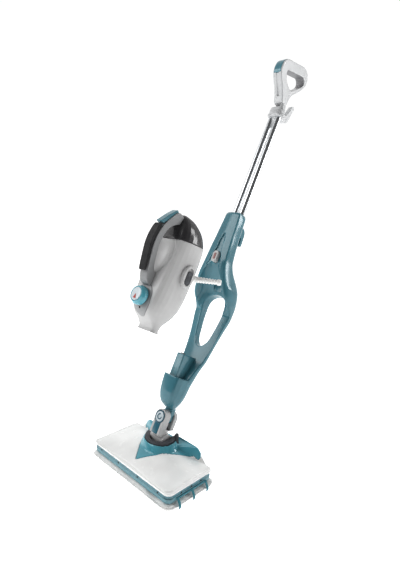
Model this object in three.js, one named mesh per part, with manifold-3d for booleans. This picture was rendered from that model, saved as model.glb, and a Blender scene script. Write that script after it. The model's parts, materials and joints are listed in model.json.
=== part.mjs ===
// Steam mop with a lift-off hand-held steamer, in millimetres, +Z up.
// The origin is the centre of the sole on the floor, +X is the mop's own left-to-right width
// and -Y is its front. The pole leans back, and the hand-held steamer is drawn off its dock.
import * as THREE from 'three';
import { mergeVertices } from 'three/addons/utils/BufferGeometryUtils.js';
import Module from 'manifold-3d';

const wasm = await Module();
wasm.setup();

// ---- driving dimensions ----------------------------------------------------------------
const GAP = 0.3;                  // clearance between neighbouring solids
const WALL = 2.6;                 // wall of the moulded shells

const PAD = { width: 312, depth: 160, height: 15, corner: 22 };
const BASE = { width: 296, depth: 144, top: 36, corner: 16, floor: 3 };
const SHELL = { width: 300, depth: 148, corner: 16, rim: 43 };
const SADDLE = { outer: [42, 37], inner: [28, 27], bottom: 66, top: 81.6 };  // neck opening
const TROUGH = { half: 23, floor: 64 };                            // lets the neck lean back
const DOME = { top: 77, radiusX: 61, radiusY: 52 };

const LOOPS = [-45, 0, 45];         // where the pad's elastic loops sit along Y

const LEAN = 26.7;                // degrees that the pole leans back
const PIN = { y: 46, z: 124.4, radius: 4 };                        // fork pin, along the pole's n
const HINGE = { n: -8, p: -50, radius: 16, half: 24, axle: 4 };    // fork's hinge, along X
const ARM = { half: 18, front: [1, 22], rear: [-26, -14] };
const BADGE = { radius: 16, disc: 13 };

const SHELF = 110;                // dock shelf, up the pole from the pin
const SPIGOT = { half: 12.6, rear: 18, front: 34, top: 170 };
const TUBE = { radius: 8, bore: 7, x: 11.4, n: 17.8, from: 500, to: 930 };
const BODY_TOP = 579;
const BUTTON = { n: 43.2, p: 443, half: 9, length: 32 };

const MOUTH = { n: 25.5, p: 111 };                                 // steamer mouth when docked
const DRAWN = { n: 147, p: 80 };                                   // how far it is drawn out
const CUT = { front: 221, slope: 0.15, at: 50 };                   // shell and tank parting line
const DIAL = { v: 69, radius: 23, from: 57, depth: 18 };

const COLOURS = {
  teal: 0x2f8c9c, deepTeal: 0x25707e, white: 0xf1f1f0, light: 0xd4d3d1, silver: 0xb4b6b8,
  grey: 0x8a8b8d, dark: 0x4a4b4e, black: 0x1b1c1f, chrome: 0xdadcdf, steel: 0xa8abb0,
  brass: 0xb99a56, rubber: 0x26272a, smoke: 0x3c3b3e, board: 0x2e6b45, pad: 0xf0f1f2, red: 0xb24a3c,
};

// ---- small helpers ---------------------------------------------------------------------
const TAU = Math.PI * 2;
const range = (count) => Array.from({ length: count }, (_, i) => i);
const mix = (a, b, t) => a + (b - a) * t;
const radians = THREE.MathUtils.degToRad;
const smooth = THREE.MathUtils.smoothstep;

// A point in a pole or steamer frame: x across, n forwards, p up the pole.
const at = (x, n, p) => new THREE.Vector3(x, -n, p);

// A closed geometry's solid, with its shared vertices merged.
function solid(geometry) {
  const bare = geometry.clone();
  bare.deleteAttribute('normal');
  bare.deleteAttribute('uv');
  const merged = mergeVertices(bare, 1e-4);
  const mesh = new wasm.Mesh({
    numProp: 3,
    vertProperties: new Float32Array(merged.attributes.position.array),
    triVerts: new Uint32Array(merged.index.array),
  });
  return new wasm.Manifold(mesh);
}

// The geometry of a solid.
function geometryOf(body) {
  const mesh = body.getMesh();
  const geometry = new THREE.BufferGeometry();
  geometry.setAttribute('position', new THREE.BufferAttribute(mesh.vertProperties, 3));
  geometry.setIndex(new THREE.BufferAttribute(mesh.triVerts, 1));
  geometry.computeVertexNormals();
  return geometry;
}

// The largest of a solid's separate pieces.
const largest = (body) => body.decompose().sort((a, b) => b.volume() - a.volume())[0];

const join = (...bodies) => bodies.reduce((sum, body) => sum.add(body));
const cut = (body, ...tools) => tools.reduce((rest, tool) => rest.subtract(tool), body);

// A skin over rings of equal length that run anticlockwise seen from the last ring.
function loft(rings) {
  const size = rings[0].length;
  const middle = (ring) => ring
    .reduce((sum, point) => sum.add(point), new THREE.Vector3())
    .divideScalar(size);
  const points = [...rings.flat(), middle(rings[0]), middle(rings.at(-1))];
  const first = rings.length * size;
  const last = (rings.length - 1) * size;
  const faces = [];
  for (const j of range(size)) {
    const k = (j + 1) % size;
    for (const i of range(rings.length - 1)) {
      const [a, b, c, d] = [i * size + j, i * size + k, (i + 1) * size + k, (i + 1) * size + j];
      faces.push(a, b, c, a, c, d);
    }
    faces.push(first, k, j, first + 1, last + j, last + k);
  }
  const geometry = new THREE.BufferGeometry().setFromPoints(points);
  geometry.setIndex(faces);
  return solid(geometry);
}

// A block between two corners.
function block([x0, y0, z0], [x1, y1, z1]) {
  const geometry = new THREE.BoxGeometry(x1 - x0, y1 - y0, z1 - z0);
  geometry.translate((x0 + x1) / 2, (y0 + y1) / 2, (z0 + z1) / 2);
  return solid(geometry);
}

// A block in a pole frame, from its lowest x, n and p to its highest.
const poleBlock = (low, high) => block([low[0], -high[1], low[2]], [high[0], -low[1], high[2]]);

// A round bar from one point to another.
function rod(from, to, radius, sides = 24, endRadius = radius) {
  const along = new THREE.Vector3().subVectors(to, from);
  const geometry = new THREE.CylinderGeometry(endRadius, radius, along.length(), sides);
  geometry.translate(0, along.length() / 2, 0);
  const turn = new THREE.Quaternion()
    .setFromUnitVectors(new THREE.Vector3(0, 1, 0), along.clone().normalize());
  geometry.applyQuaternion(turn);
  geometry.translate(from.x, from.y, from.z);
  return solid(geometry);
}

const pipe = (from, to, outer, inner, sides = 24) => cut(
  rod(from, to, outer, sides),
  rod(
    from.clone().addScaledVector(new THREE.Vector3().subVectors(to, from).normalize(), -1),
    to.clone().addScaledVector(new THREE.Vector3().subVectors(to, from).normalize(), 1),
    inner, sides,
  ),
);

// A plate cut to an outline in x and p, from one n to another.
function plate(shape, rear, front, curveSegments = 12) {
  const geometry = new THREE.ExtrudeGeometry(shape, {
    depth: front - rear, bevelEnabled: false, curveSegments,
  });
  geometry.rotateX(Math.PI / 2);
  geometry.translate(0, -rear, 0);
  return solid(geometry);
}

// A plate cut to an outline in n and p, spread along x, with its edges rounded by bevel.
function slab(shape, half, bevel = 0, curveSegments = 12) {
  const geometry = new THREE.ExtrudeGeometry(shape, {
    depth: 2 * (half - bevel), bevelEnabled: bevel > 0, bevelSize: bevel,
    bevelThickness: bevel, bevelSegments: 2, bevelOffset: -bevel, curveSegments,
  });
  geometry.translate(0, 0, bevel - half);
  geometry.applyMatrix4(new THREE.Matrix4().set(
    0, 0, -1, 0,
    -1, 0, 0, 0,
    0, 1, 0, 0,
    0, 0, 0, 1,
  ));
  return solid(geometry);
}

// A ring of points round a rounded rectangle, anticlockwise from its front middle.
function roundedRing(halfX, halfY, corner, z, centreY = 0, perCorner = 5) {
  const points = [];
  const corners = [[1, -1, -90], [1, 1, 0], [-1, 1, 90], [-1, -1, 180]];
  for (const [sx, sy, start] of corners) {
    for (const i of range(perCorner + 1)) {
      const turn = radians(start + 90 * i / perCorner);
      points.push(new THREE.Vector3(
        sx * (halfX - corner) + corner * Math.cos(turn),
        centreY + sy * (halfY - corner) + corner * Math.sin(turn),
        z,
      ));
    }
  }
  return points;
}

// Place of the fork's hinge over the floor.
const HINGE_Y = PIN.y - HINGE.n * Math.cos(radians(LEAN)) + HINGE.p * Math.sin(radians(LEAN));
const HINGE_Z = PIN.z + HINGE.n * Math.sin(radians(LEAN)) + HINGE.p * Math.cos(radians(LEAN));

// ---- head ------------------------------------------------------------------------------
// Height of the shell's top edge: low along the front and ends, high across the rear.
function edgeHeight(x, y) {
  const across = smooth(132 - Math.abs(x), 0, 42);
  const back = smooth(y, -30, 70);
  return mix(SHELL.rim, 75, across * back);
}

// Height of the shell's outer surface over a point.
function topHeight(x, y, edge) {
  const fromDome = Math.hypot(x / DOME.radiusX, (y - HINGE_Y) / DOME.radiusY);
  const slope = mix(62, edge, smooth(Math.hypot(x / 150, (y - 20) / 100), 0.15, 1.0));
  const dome = mix(slope, DOME.top, 1 - smooth(fromDome, 0.74, 1.06));
  return Math.max(slope, dome);
}

// The shell's outside grown inwards by inset, as a closed solid down to floor.
function headForm(inset, floor) {
  const perimeter = roundedRing(
    SHELL.width / 2 - inset, SHELL.depth / 2 - inset, SHELL.corner - inset / 2, 0, 0, 3,
  ).flatMap((point, i, all) => {
    const next = all[(i + 1) % all.length];
    const steps = Math.max(1, Math.round(point.distanceTo(next) / 34));
    return range(steps).map((k) => point.clone().lerp(next, k / steps));
  });
  const centre = new THREE.Vector3(0, HINGE_Y, 0);
  const bottom = perimeter.map((point) => point.clone().setZ(floor));
  const side = perimeter.map((point) => point.clone().setZ(edgeHeight(point.x, point.y) - 2 - inset));
  const shares = inset > 0 ? [0.03, 0.24, 0.55, 0.68, 0.82] : [0.015, 0.1, 0.24, 0.4, 0.55, 0.68, 0.82];
  const top = shares.map((share) => perimeter.map((point) => {
    const moved = point.clone().lerp(centre, share);
    const edge = edgeHeight(point.x, point.y);
    return moved.setZ(topHeight(moved.x, moved.y, edge) - inset);
  }));
  return loft([bottom, side, ...top]);
}

// Outline of the coloured cover on the head, seen from above.
function coverOutline(grow) {
  const shape = new THREE.Shape();
  shape.moveTo(0, -48 - grow * 1.6);
  shape.lineTo(86 + grow, 46);
  shape.quadraticCurveTo(92 + grow, 54, 97 + grow, 58);
  shape.lineTo(112 + grow, 60);
  shape.lineTo(116 + grow, 90);
  shape.lineTo(-116 - grow, 90);
  shape.lineTo(-112 - grow, 60);
  shape.lineTo(-97 - grow, 58);
  shape.quadraticCurveTo(-92 - grow, 54, -86 - grow, 46);
  shape.closePath();
  return shape;
}

function column(shape, bottom, top) {
  const geometry = new THREE.ExtrudeGeometry(shape, {
    depth: top - bottom, bevelEnabled: false, curveSegments: 4,
  });
  geometry.translate(0, 0, bottom);
  return solid(geometry);
}

function ellipseColumn([halfX, halfY], grow, bottom, top, sides = 32) {
  const geometry = new THREE.CylinderGeometry(1, 1, top - bottom, sides);
  geometry.rotateX(Math.PI / 2);
  geometry.scale(halfX + grow, halfY + grow, 1);
  geometry.translate(0, HINGE_Y, (top + bottom) / 2);
  return solid(geometry);
}

function neckTrough() {
  return block(
    [-TROUGH.half, HINGE_Y, TROUGH.floor],
    [TROUGH.half, SHELL.depth, DOME.top + 30],
  );
}

function headShells() {
  const floor = BASE.top + GAP;
  const skin = cut(
    headForm(0, floor),
    headForm(WALL, floor - 10),
    ellipseColumn(SADDLE.outer, 1, 60, 120),
    neckTrough(), horn(1, 0.6, 110), horn(-1, 0.6, 110),
  );
  const cover = largest(skin.intersect(column(coverOutline(-GAP), 0, 200)));
  const shell = largest(cut(skin, column(coverOutline(0), 0, 200)));
  return { cover, shell };
}

// Horn at one rear corner of the saddle.
const horn = (side, grow, top) => rod(
  new THREE.Vector3(side * 36, HINGE_Y + 23, SADDLE.bottom),
  new THREE.Vector3(side * 36, HINGE_Y + 25, top), 6.4 + grow, 12, 4.6 + grow,
);

// The dark saddle round the neck: it holds the axle stubs, and has a horn at each rear corner.
function saddle() {
  const { outer, inner, bottom, top } = SADDLE;
  const along = (radius, reach) => rod(
    new THREE.Vector3(-reach, HINGE_Y, HINGE_Z), new THREE.Vector3(reach, HINGE_Y, HINGE_Z), radius, 16,
  );
  return cut(
    join(ellipseColumn(outer, 0, bottom, top), horn(1, 0, 93), horn(-1, 0, 93)),
    ellipseColumn(inner, 0, 50, 120),
    along(HINGE.radius + 0.7, HINGE.half + 1),
    along(HINGE.axle + GAP, 60),
    neckTrough(),
  );
}

function baseTray() {
  const { width, depth, top, corner, floor } = BASE;
  const ring = (inset, z) => roundedRing(
    width / 2 - inset, depth / 2 - inset, corner - inset / 2, z,
  );
  const bottom = PAD.height + GAP;
  const outer = loft([ring(3, bottom), ring(0, bottom + 5), ring(0, top)]);
  const inner = loft([ring(6, bottom + floor), ring(3, bottom + floor + 5), ring(3, top + 5)]);
  const post = (side) => block(
    [side * 36 - 4, HINGE_Y - 10, bottom], [side * 36 + 4, HINGE_Y + 10, SADDLE.bottom - GAP],
  );
  return join(cut(outer, inner), post(1), post(-1));
}

// Twin outlet rails that carry steam from the neck to the sole.
function steamRails() {
  const [y, z] = [48, 26];
  const bars = (radius, reach) => join(
    rod(new THREE.Vector3(-reach, y, z), new THREE.Vector3(reach, y, z), radius, 10),
    rod(new THREE.Vector3(-reach, -y, z), new THREE.Vector3(reach, -y, z), radius, 10),
    rod(new THREE.Vector3(0, -y, z), new THREE.Vector3(0, y, z), radius, 10),
  );
  return cut(bars(4, 110), bars(2.6, 112));
}

function padSolid() {
  const { width, depth, height, corner } = PAD;
  const ring = (inset, z) => roundedRing(width / 2 - inset, depth / 2 - inset, corner - inset, z);
  return loft([ring(5, 0), ring(0, 4), ring(0, 11), ring(5, height)]);
}

// Three elastic loops over one end of the pad, on a band that grips the tray.
function padLoops(side) {
  const reach = PAD.width / 2 + 1.6;
  const shape = new THREE.Shape();
  shape.moveTo(reach - 7, 22.5);
  shape.lineTo(reach - 1.5, 15);
  shape.quadraticCurveTo(reach + 1.4, 8, reach - 0.5, 2);
  shape.lineTo(reach + 1, 1.2);
  shape.quadraticCurveTo(reach + 3.4, 8, reach, 16.4);
  shape.lineTo(reach - 6, 24.4);
  shape.closePath();
  const loops = LOOPS.map((y) => {
    const geometry = new THREE.ExtrudeGeometry(shape, {
      depth: 6, bevelEnabled: false, curveSegments: 4,
    });
    geometry.rotateX(Math.PI / 2);
    geometry.translate(0, y + 3, 0);
    return solid(geometry);
  });
  const band = block([BASE.width / 2 + GAP, -48, 21.8], [BASE.width / 2 + 3.4, 48, 25]);
  return join(band, ...loops).rotate([0, 0, side < 0 ? 180 : 0]);
}

// ---- neck ------------------------------------------------------------------------------
// Outline of a fork arm in x and p: a round head over a tapering leg.
function armOutline(half, foot, grow = 0) {
  const shape = new THREE.Shape();
  shape.moveTo(-half + 1 - grow, foot);
  shape.lineTo(half - 1 + grow, foot);
  shape.lineTo(half + grow, 4);
  shape.absarc(0, 4, half + grow, 0, Math.PI, false);
  shape.closePath();
  return shape;
}

function neckFork() {
  const front = plate(armOutline(ARM.half, -42), ...ARM.front, 10);
  const rear = plate(armOutline(ARM.half, -24), ...ARM.rear, 10);
  const ring = (p, rearN, frontN, half) => roundedRing(
    half, (frontN - rearN) / 2, 4, p, -(frontN + rearN) / 2, 3,
  );
  const base = loft([
    ring(HINGE.p, -20, 5, 17), ring(-42, -20, 19, 17), ring(-38, -22, 22, 17), ring(-24, -26, 22, 17),
  ]);
  const barrel = rod(
    at(-HINGE.half, HINGE.n, HINGE.p), at(HINGE.half, HINGE.n, HINGE.p), HINGE.radius, 24,
  );
  const axleHole = rod(
    at(-HINGE.half - 5, HINGE.n, HINGE.p), at(HINGE.half + 5, HINGE.n, HINGE.p),
    HINGE.axle + GAP, 14,
  );
  const pinHole = rod(at(0, -40, 0), at(0, 40, 0), PIN.radius + GAP, 14);
  const hoseHole = rod(at(0, -7, -80), at(0, -7, -20), 7.2, 14);
  const badgeSeat = rod(at(0, ARM.front[1] - 3, 2), at(0, 40, 2), BADGE.radius + GAP, 26);
  const inlaySeat = poleBlock([-9.8, ARM.front[1] - 1.5, -41], [9.8, 40, 2]);
  return cut(join(front, rear, base, barrel), axleHole, pinHole, hoseHole, badgeSeat, inlaySeat);
}

const forkInlay = () => cut(
  poleBlock([-9.5, ARM.front[1] - 1.2, -40.6], [9.5, ARM.front[1] + 0.5, 2]),
  rod(at(0, 0, 2), at(0, 40, 2), BADGE.radius + 2 * GAP, 26),
);

const badgeRing = () => cut(
  rod(at(0, ARM.front[1] - 2.7, 2), at(0, ARM.front[1] + 1.2, 2), BADGE.radius, 26),
  rod(at(0, ARM.front[1] - 1, 2), at(0, 40, 2), BADGE.disc + GAP, 26),
);

const badgeDisc = () => rod(
  at(0, ARM.front[1] - 0.7, 2), at(0, ARM.front[1] + 1.6, 2), BADGE.disc, 26,
);

const swingPin = () => rod(at(0, ARM.rear[0] + 0.5, 0), at(0, ARM.front[1] - 3.4, 0), PIN.radius, 14);

// Axle stub on one side of the hose that passes through the hinge.
const tiltAxle = (side) => rod(
  new THREE.Vector3(side * 8.5, HINGE_Y, HINGE_Z), new THREE.Vector3(side * 40, HINGE_Y, HINGE_Z),
  HINGE.axle, 12,
);

// Bellows hose that brings steam down through the fork.
function neckHose() {
  const ribs = [];
  const [count, pitch] = [10, 4.8];
  for (const i of range(count)) {
    const p = -64 + i * pitch;
    ribs.push(new THREE.Vector2(4.4, p), new THREE.Vector2(6, p + pitch * 0.5));
  }
  const outline = [new THREE.Vector2(2.6, -64), ...ribs, new THREE.Vector2(2.6, -64 + count * pitch)];
  outline.push(outline[0].clone());
  const geometry = new THREE.LatheGeometry(outline, 10);
  geometry.rotateX(Math.PI / 2);
  geometry.translate(0, 7, 0);
  return solid(geometry);
}

// ---- body ------------------------------------------------------------------------------
// One cross-section of the body: a crowned front face between two edges, and a rounded back.
function bodyRing({ p, front, rear, frontHalf, half, middle, power }, inset = 0) {
  const crown = Math.min(2.5, frontHalf / 8);
  const edge = frontHalf - inset * 0.7;
  const wide = half - inset;
  const face = front - inset;
  const side = [];
  for (const i of range(2)) {
    side.push([edge * i / 2, face - crown * (i / 2) ** 2]);
  }
  for (const i of range(3)) {
    const turn = Math.PI / 2 * i / 3;
    side.push([
      edge + (wide - edge) * Math.sin(turn),
      middle + (face - crown - middle) * Math.cos(turn),
    ]);
  }
  for (const i of range(5)) {
    const turn = Math.PI / 2 * i / 5;
    side.push([
      wide * Math.cos(turn) ** (2 / power),
      middle - (middle - rear - inset) * Math.sin(turn) ** (2 / power),
    ]);
  }
  const right = side.map(([x, n]) => at(x, n, p));
  const left = side.slice(1).reverse().map(([x, n]) => at(-x, n, p));
  return [...right, at(0, rear + inset, p), ...left];
}

const station = (p, front, rear, frontHalf, half, middle, power) => (
  { p, front, rear, frontHalf, half, middle, power }
);

// Lower housing, from the neck up to the dock shelf.
const HOUSING = [
  station(26.5, 7, -13, 8, 13, -3, 2.2),
  station(31, 15, -14, 11, 16, -1, 2.3),
  station(38, 25, -16, 15, 21, 3, 2.5),
  station(50, 33, -20, 18, 26, 5, 2.8),
  station(70, 39.5, -23, 20.5, 30, 5, 3),
  station(102, 43.5, -24, 21.3, 32, 3, 3.3),
  station(SHELF, 44, -24, 21.4, 32.5, 2, 3.4),
];

// Frame from the shelf, round the opening, and up to the tube socket.
const FRAME = [
  station(100, 10, -23, 27, 31.5, -2, 3.4),
  station(141, -3, -29, 33, 36, -10, 3.6),
  station(172, -15.8, -38, 37, 39.5, -19, 4),
  station(225, -21.6, -43, 45, 47.5, -23, 4),
  station(262, -22.4, -46, 52, 54.5, -25, 4),
  station(300, -22.5, -49, 59.5, 62, -26, 4),
  station(325, -6, -50, 59.5, 62.5, -26, 4),
  station(345, 16, -50, 55.5, 61, -22, 4),
  station(370, 29, -49, 49, 57, -16, 3.6),
  station(388, 36, -44, 44.5, 50.5, -8, 3.2),
  station(402, 39.5, -32, 41.5, 46, 0, 3),
  station(420, 41.5, -14, 38, 41, 8, 2.8),
  station(440, 43, -5, 34.5, 37, 13, 2.5),
  station(470, 43, -3, 32, 34, 16, 2.5),
  station(510, 42, -3, 28.5, 30, 18, 2.5),
  station(573, 40.5, -3, 23.3, 25, 18, 2.5),
  station(BODY_TOP, 38, -0.5, 20.5, 22, 18, 2.5),
];

// Cradle that the docked steamer's back and tank sit in: its half width and its floor.
const CRADLE = [
  [290, 78, -22.6], [320, 59, -23.2], [345, 50.5, -22.4], [361, 46, -17.4], [378, 40, -6],
  [399, 31, 15], [420, 22.5, 31], [448, 12, 46],
];

function cradleCut(grow = 0) {
  const depth = 30;
  const ring = ([p, half, floor]) => {
    const side = range(6).map((i) => {
      const turn = Math.PI / 2 * i / 5;
      return [
        (half + grow) * Math.cos(turn) ** 0.6,
        floor - grow + depth * (1 - Math.sin(turn) ** 0.6),
      ];
    });
    const right = side.map(([x, n]) => at(x, n, p));
    const left = side.slice(0, -1).reverse().map(([x, n]) => at(-x, n, p));
    return [at(0, 120, p), at(half + grow, 120, p), ...right, ...left, at(-half - grow, 120, p)];
  };
  return loft(CRADLE.map(ring));
}

// Recess in the cradle for the tank's filler cap, long enough for the slanted way in.
const CAP_SEAT = { half: 14.4, length: 36, p: 365, floor: -17.2 };
const capRecess = (grow = 0) => capsule(
  CAP_SEAT.half + grow, CAP_SEAT.length + 2 * grow, CAP_SEAT.floor - grow, 60, CAP_SEAT.p,
);

// The egg-shaped opening through the body.
function openingOutline(grow = 0) {
  const half = [[0, 206], [13, 211], [24, 227], [30, 253], [35.5, 282], [38, 309], [36, 331], [24, 347]];
  const middle = 290;
  const points = [...half, [0, 353], ...half.slice(1).reverse().map(([x, p]) => [-x, p])]
    .map(([x, p]) => {
      const length = Math.hypot(x, (p - middle) * 0.6) || 1;
      return new THREE.Vector3(
        x + grow * x / length, p + grow * (p - middle) * 0.6 / length, 0,
      );
    });
  const curve = new THREE.CatmullRomCurve3(points, true, 'centripetal');
  return new THREE.Shape(curve.getPoints(26).slice(0, -1).map(({ x, y }) => new THREE.Vector2(x, y)));
}

const openingCut = (grow = 0) => plate(openingOutline(grow), -90, 60);

// Parting line between the front and rear body shells, as the front shell's side.
function partingOutline(offset) {
  const line = [
    [4, 20], [4, 104], [-8, 128], [-14, 150], [-27, 190], [-33, 250], [-37, 320], [-33, 368],
    [-14, 398], [6, 426], [14, 470], [14, 600],
  ];
  const points = line.map(([n, p]) => new THREE.Vector2(n + offset, p));
  return new THREE.Shape([...points, new THREE.Vector2(150, 600), new THREE.Vector2(150, 20)]);
}

// The V-shaped channel that runs from an arrow notch down to the release button.
function channelCut() {
  const shape = new THREE.Shape([
    [0, 516], [6.5, 498], [8.5, 470], [19, 434], [26, 418], [-26, 418], [-19, 434],
    [-8.5, 470], [-6.5, 498],
  ].map(([x, p]) => new THREE.Vector2(x, p)));
  return plate(shape, BUTTON.n - 5, BUTTON.n + 30);
}

const SCREWS = [
  { x: -18, p: 75, back: -23, front: 30 }, { x: 18, p: 75, back: -23, front: 30 },
  { x: -20, p: 468, back: -3, front: 34 }, { x: 20, p: 468, back: -3, front: 34 },
];

const bodyScrew = ({ x, p, back, front }) => join(
  rod(at(x, back + 2, p), at(x, front - 6, p), 1.6, 8),
  rod(at(x, back + 1, p), at(x, back + 3, p), 3.2, 10),
);

const screwBoss = ({ x, p, back, front }) => rod(at(x, back, p), at(x, front + 20, p), 4.6, 10);

const screwBore = ({ x, p, back, front }) => join(
  rod(at(x, back, p), at(x, front - 5, p), 1.9, 8),
  rod(at(x, back - 15, p), at(x, back + 3.3, p), 3.5, 10),
);

// Post on the rear shell that the release button's spring sits on.
const springPost = () => join(
  rod(at(0, -3.2, BUTTON.p), at(0, 10, BUTTON.p), 6, 12),
  rod(at(0, 9, BUTTON.p), at(0, 15, BUTTON.p), 3.2, 10),
);

function bodyShells() {
  const outer = join(loft(HOUSING.map((s) => bodyRing(s))), loft(FRAME.map((s) => bodyRing(s))));
  const shrink = (stations, low, high) => loft(stations
    .filter(({ p }) => p > low && p < high)
    .map((s) => bodyRing(s, WALL)));
  const hollow = cut(
    join(shrink(HOUSING, 30, SHELF - 1), shrink(FRAME, 99, BODY_TOP - 1)),
    poleBlock([-60, 12, SHELF - WALL], [60, 60, SHELF + 30]),
    cradleCut(WALL),
    capRecess(WALL),
    openingCut(WALL),
    plate(new THREE.Shape([[-32, 400], [32, 400], [14, 480], [10, 520], [-10, 520], [-14, 480]]
      .map(([x, p]) => new THREE.Vector2(x, p))), BUTTON.n - 5 - WALL, BUTTON.n + 30),
  );
  const tubes = [-1, 1].map((side) => rod(
    at(side * TUBE.x, TUBE.n, TUBE.from - 20), at(side * TUBE.x, TUBE.n, 700), TUBE.radius + GAP, 16,
  ));
  const tongue = new THREE.Shape();
  tongue.moveTo(-13, 30);
  tongue.absarc(0, 0, 13, Math.PI, TAU, false);
  tongue.lineTo(13, 30);
  tongue.closePath();
  const pinHole = rod(at(0, -60, 0), at(0, 60, 0), PIN.radius + GAP, 14);
  const buttonHole = poleBlock(
    [-BUTTON.half - GAP, 20, BUTTON.p - BUTTON.length / 2 - GAP],
    [BUTTON.half + GAP, 80, BUTTON.p + BUTTON.length / 2 + GAP],
  );
  const steamHole = rod(at(0, 26, SHELF - 16), at(0, 26, SHELF + 10), 4.2, 12);
  const skin = cut(
    join(outer, plate(tongue, ARM.rear[1] + 0.5, ARM.front[0] - 0.5, 16)),
    cut(hollow, ...SCREWS.map(screwBoss)),
    cradleCut(), capRecess(), openingCut(), channelCut(), pinHole, buttonHole, steamHole, ...tubes,
    rod(at(0, -20, 540), at(0, 7, 540), 3.3, 12),
    ...SCREWS.map(screwBore),
  );
  const frontSide = slab(partingOutline(GAP / 2), 120);
  const rearSide = slab(partingOutline(-GAP / 2), 120);
  return {
    front: largest(skin.intersect(frontSide)),
    rear: join(largest(cut(skin, rearSide)), springPost()),
  };
}

// Box-shaped spigot on the dock shelf, open underneath, with a steam outlet in its top.
function dockSpigot() {
  const { half, rear, front, top } = SPIGOT;
  const middle = -(rear + front) / 2;
  const ring = (inset, p) => roundedRing(
    half - inset, (front - rear) / 2 - inset, 3 - inset / 2, p, middle, 3,
  );
  const base = SHELF + GAP;
  return cut(
    loft([ring(0, base), ring(0, top - 3), ring(1.5, top)]),
    loft([ring(2.2, base - 5), ring(2.2, top - 3)]),
    rod(at(0, 26, base), at(0, 26, top + 5), 3.8, 16),
  );
}

const spigotSeal = () => cut(
  rod(at(0, 26, SPIGOT.top + GAP), at(0, 26, SPIGOT.top + 2.3), 6.5, 20),
  rod(at(0, 26, SPIGOT.top - 5), at(0, 26, SPIGOT.top + 9), 4.2, 20),
);

// Steam pipe from the spigot down through the housing towards the neck.
function steamRiser() {
  const bars = (radius, extra) => join(
    rod(at(0, 26, 56), at(0, 26, SPIGOT.top - 1 + extra), radius, 12),
    rod(at(0, -6 - extra, 56), at(0, 26, 56), radius, 12),
  );
  return cut(bars(3.4, 0), bars(2.1, 4));
}

// Two-bore block that clamps the feet of the twin tubes.
function tubeSocket() {
  const low = TUBE.from - 16;
  const bore = (side) => rod(
    at(side * TUBE.x, TUBE.n, low + 4), at(side * TUBE.x, TUBE.n, BODY_TOP), TUBE.radius + GAP, 16,
  );
  const ring = (p) => roundedRing(20, 10.2, 7, p, -TUBE.n, 4);
  return cut(loft([ring(low), ring(BODY_TOP - WALL - 12)]), bore(-1), bore(1));
}

const poleTube = (side) => pipe(
  at(side * TUBE.x, TUBE.n, TUBE.from - 8), at(side * TUBE.x, TUBE.n, TUBE.to),
  TUBE.radius, TUBE.bore, 20,
);

function capsule(half, length, rear, front, centreP) {
  const shape = new THREE.Shape();
  const straight = length / 2 - half;
  shape.absarc(0, centreP + straight, half, 0, Math.PI, false);
  shape.absarc(0, centreP - straight, half, Math.PI, TAU, false);
  shape.closePath();
  return plate(shape, rear, front, 8);
}

// Release button with a stem that carries the latch nose.
function releaseButton() {
  const face = capsule(BUTTON.half, BUTTON.length, BUTTON.n - 9, BUTTON.n + 4.5, BUTTON.p);
  const mark = capsule(3.9, 18.4, BUTTON.n + 3.2, BUTTON.n + 9, BUTTON.p);
  return cut(face, mark);
}

const releaseMark = () => capsule(3.5, 17.6, BUTTON.n + 3.5, BUTTON.n + 5, BUTTON.p);

// Latch bar behind the button, with a nose over the docked steamer.
const releaseLatch = () => join(
  poleBlock([-6, 26, BUTTON.p - 15], [6, 29, BUTTON.p + 12]),
  poleBlock([-6, 26, BUTTON.p - 6], [6, BUTTON.n - 9 - GAP, BUTTON.p + 6]),
);

// A coil spring, as a round wire wound about n.
function coilSpring(radius, wire, turns, rear, front, p) {
  const points = range(turns * 8 + 1).map((i) => {
    const turn = TAU * i / 8;
    return at(
      radius * Math.cos(turn), mix(rear, front, i / (turns * 8)), p + radius * Math.sin(turn),
    );
  });
  const curve = new THREE.CatmullRomCurve3(points);
  const shape = new THREE.Shape();
  shape.absarc(0, 0, wire, 0, TAU, false);
  const geometry = new THREE.ExtrudeGeometry(shape, {
    steps: turns * 9, extrudePath: curve, curveSegments: 2, bevelEnabled: false,
  });
  return solid(geometry);
}

const releaseSpring = () => coilSpring(4.4, 0.55, 3, 11, 21, BUTTON.p);

// Hook on the back of the body that the cord is wound on: a finger that points down.
function lowerHook() {
  const shape = new THREE.Shape();
  shape.moveTo(-4, 548);
  shape.lineTo(-14, 556);
  shape.quadraticCurveTo(-26, 556, -31, 540);
  shape.lineTo(-33, 512);
  shape.absarc(-28, 510, 5.2, Math.PI, TAU, false);
  shape.lineTo(-21.5, 526);
  shape.quadraticCurveTo(-18, 532, -4, 526);
  shape.closePath();
  return join(slab(shape, 8, 2, 4), rod(at(0, -6, 540), at(0, 3, 540), 3, 12));
}

// ---- upper handle ------------------------------------------------------------------------
const HANDLE = { half: 15, bevel: 3.6, collarLow: 896, collarTop: 938 };

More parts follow.
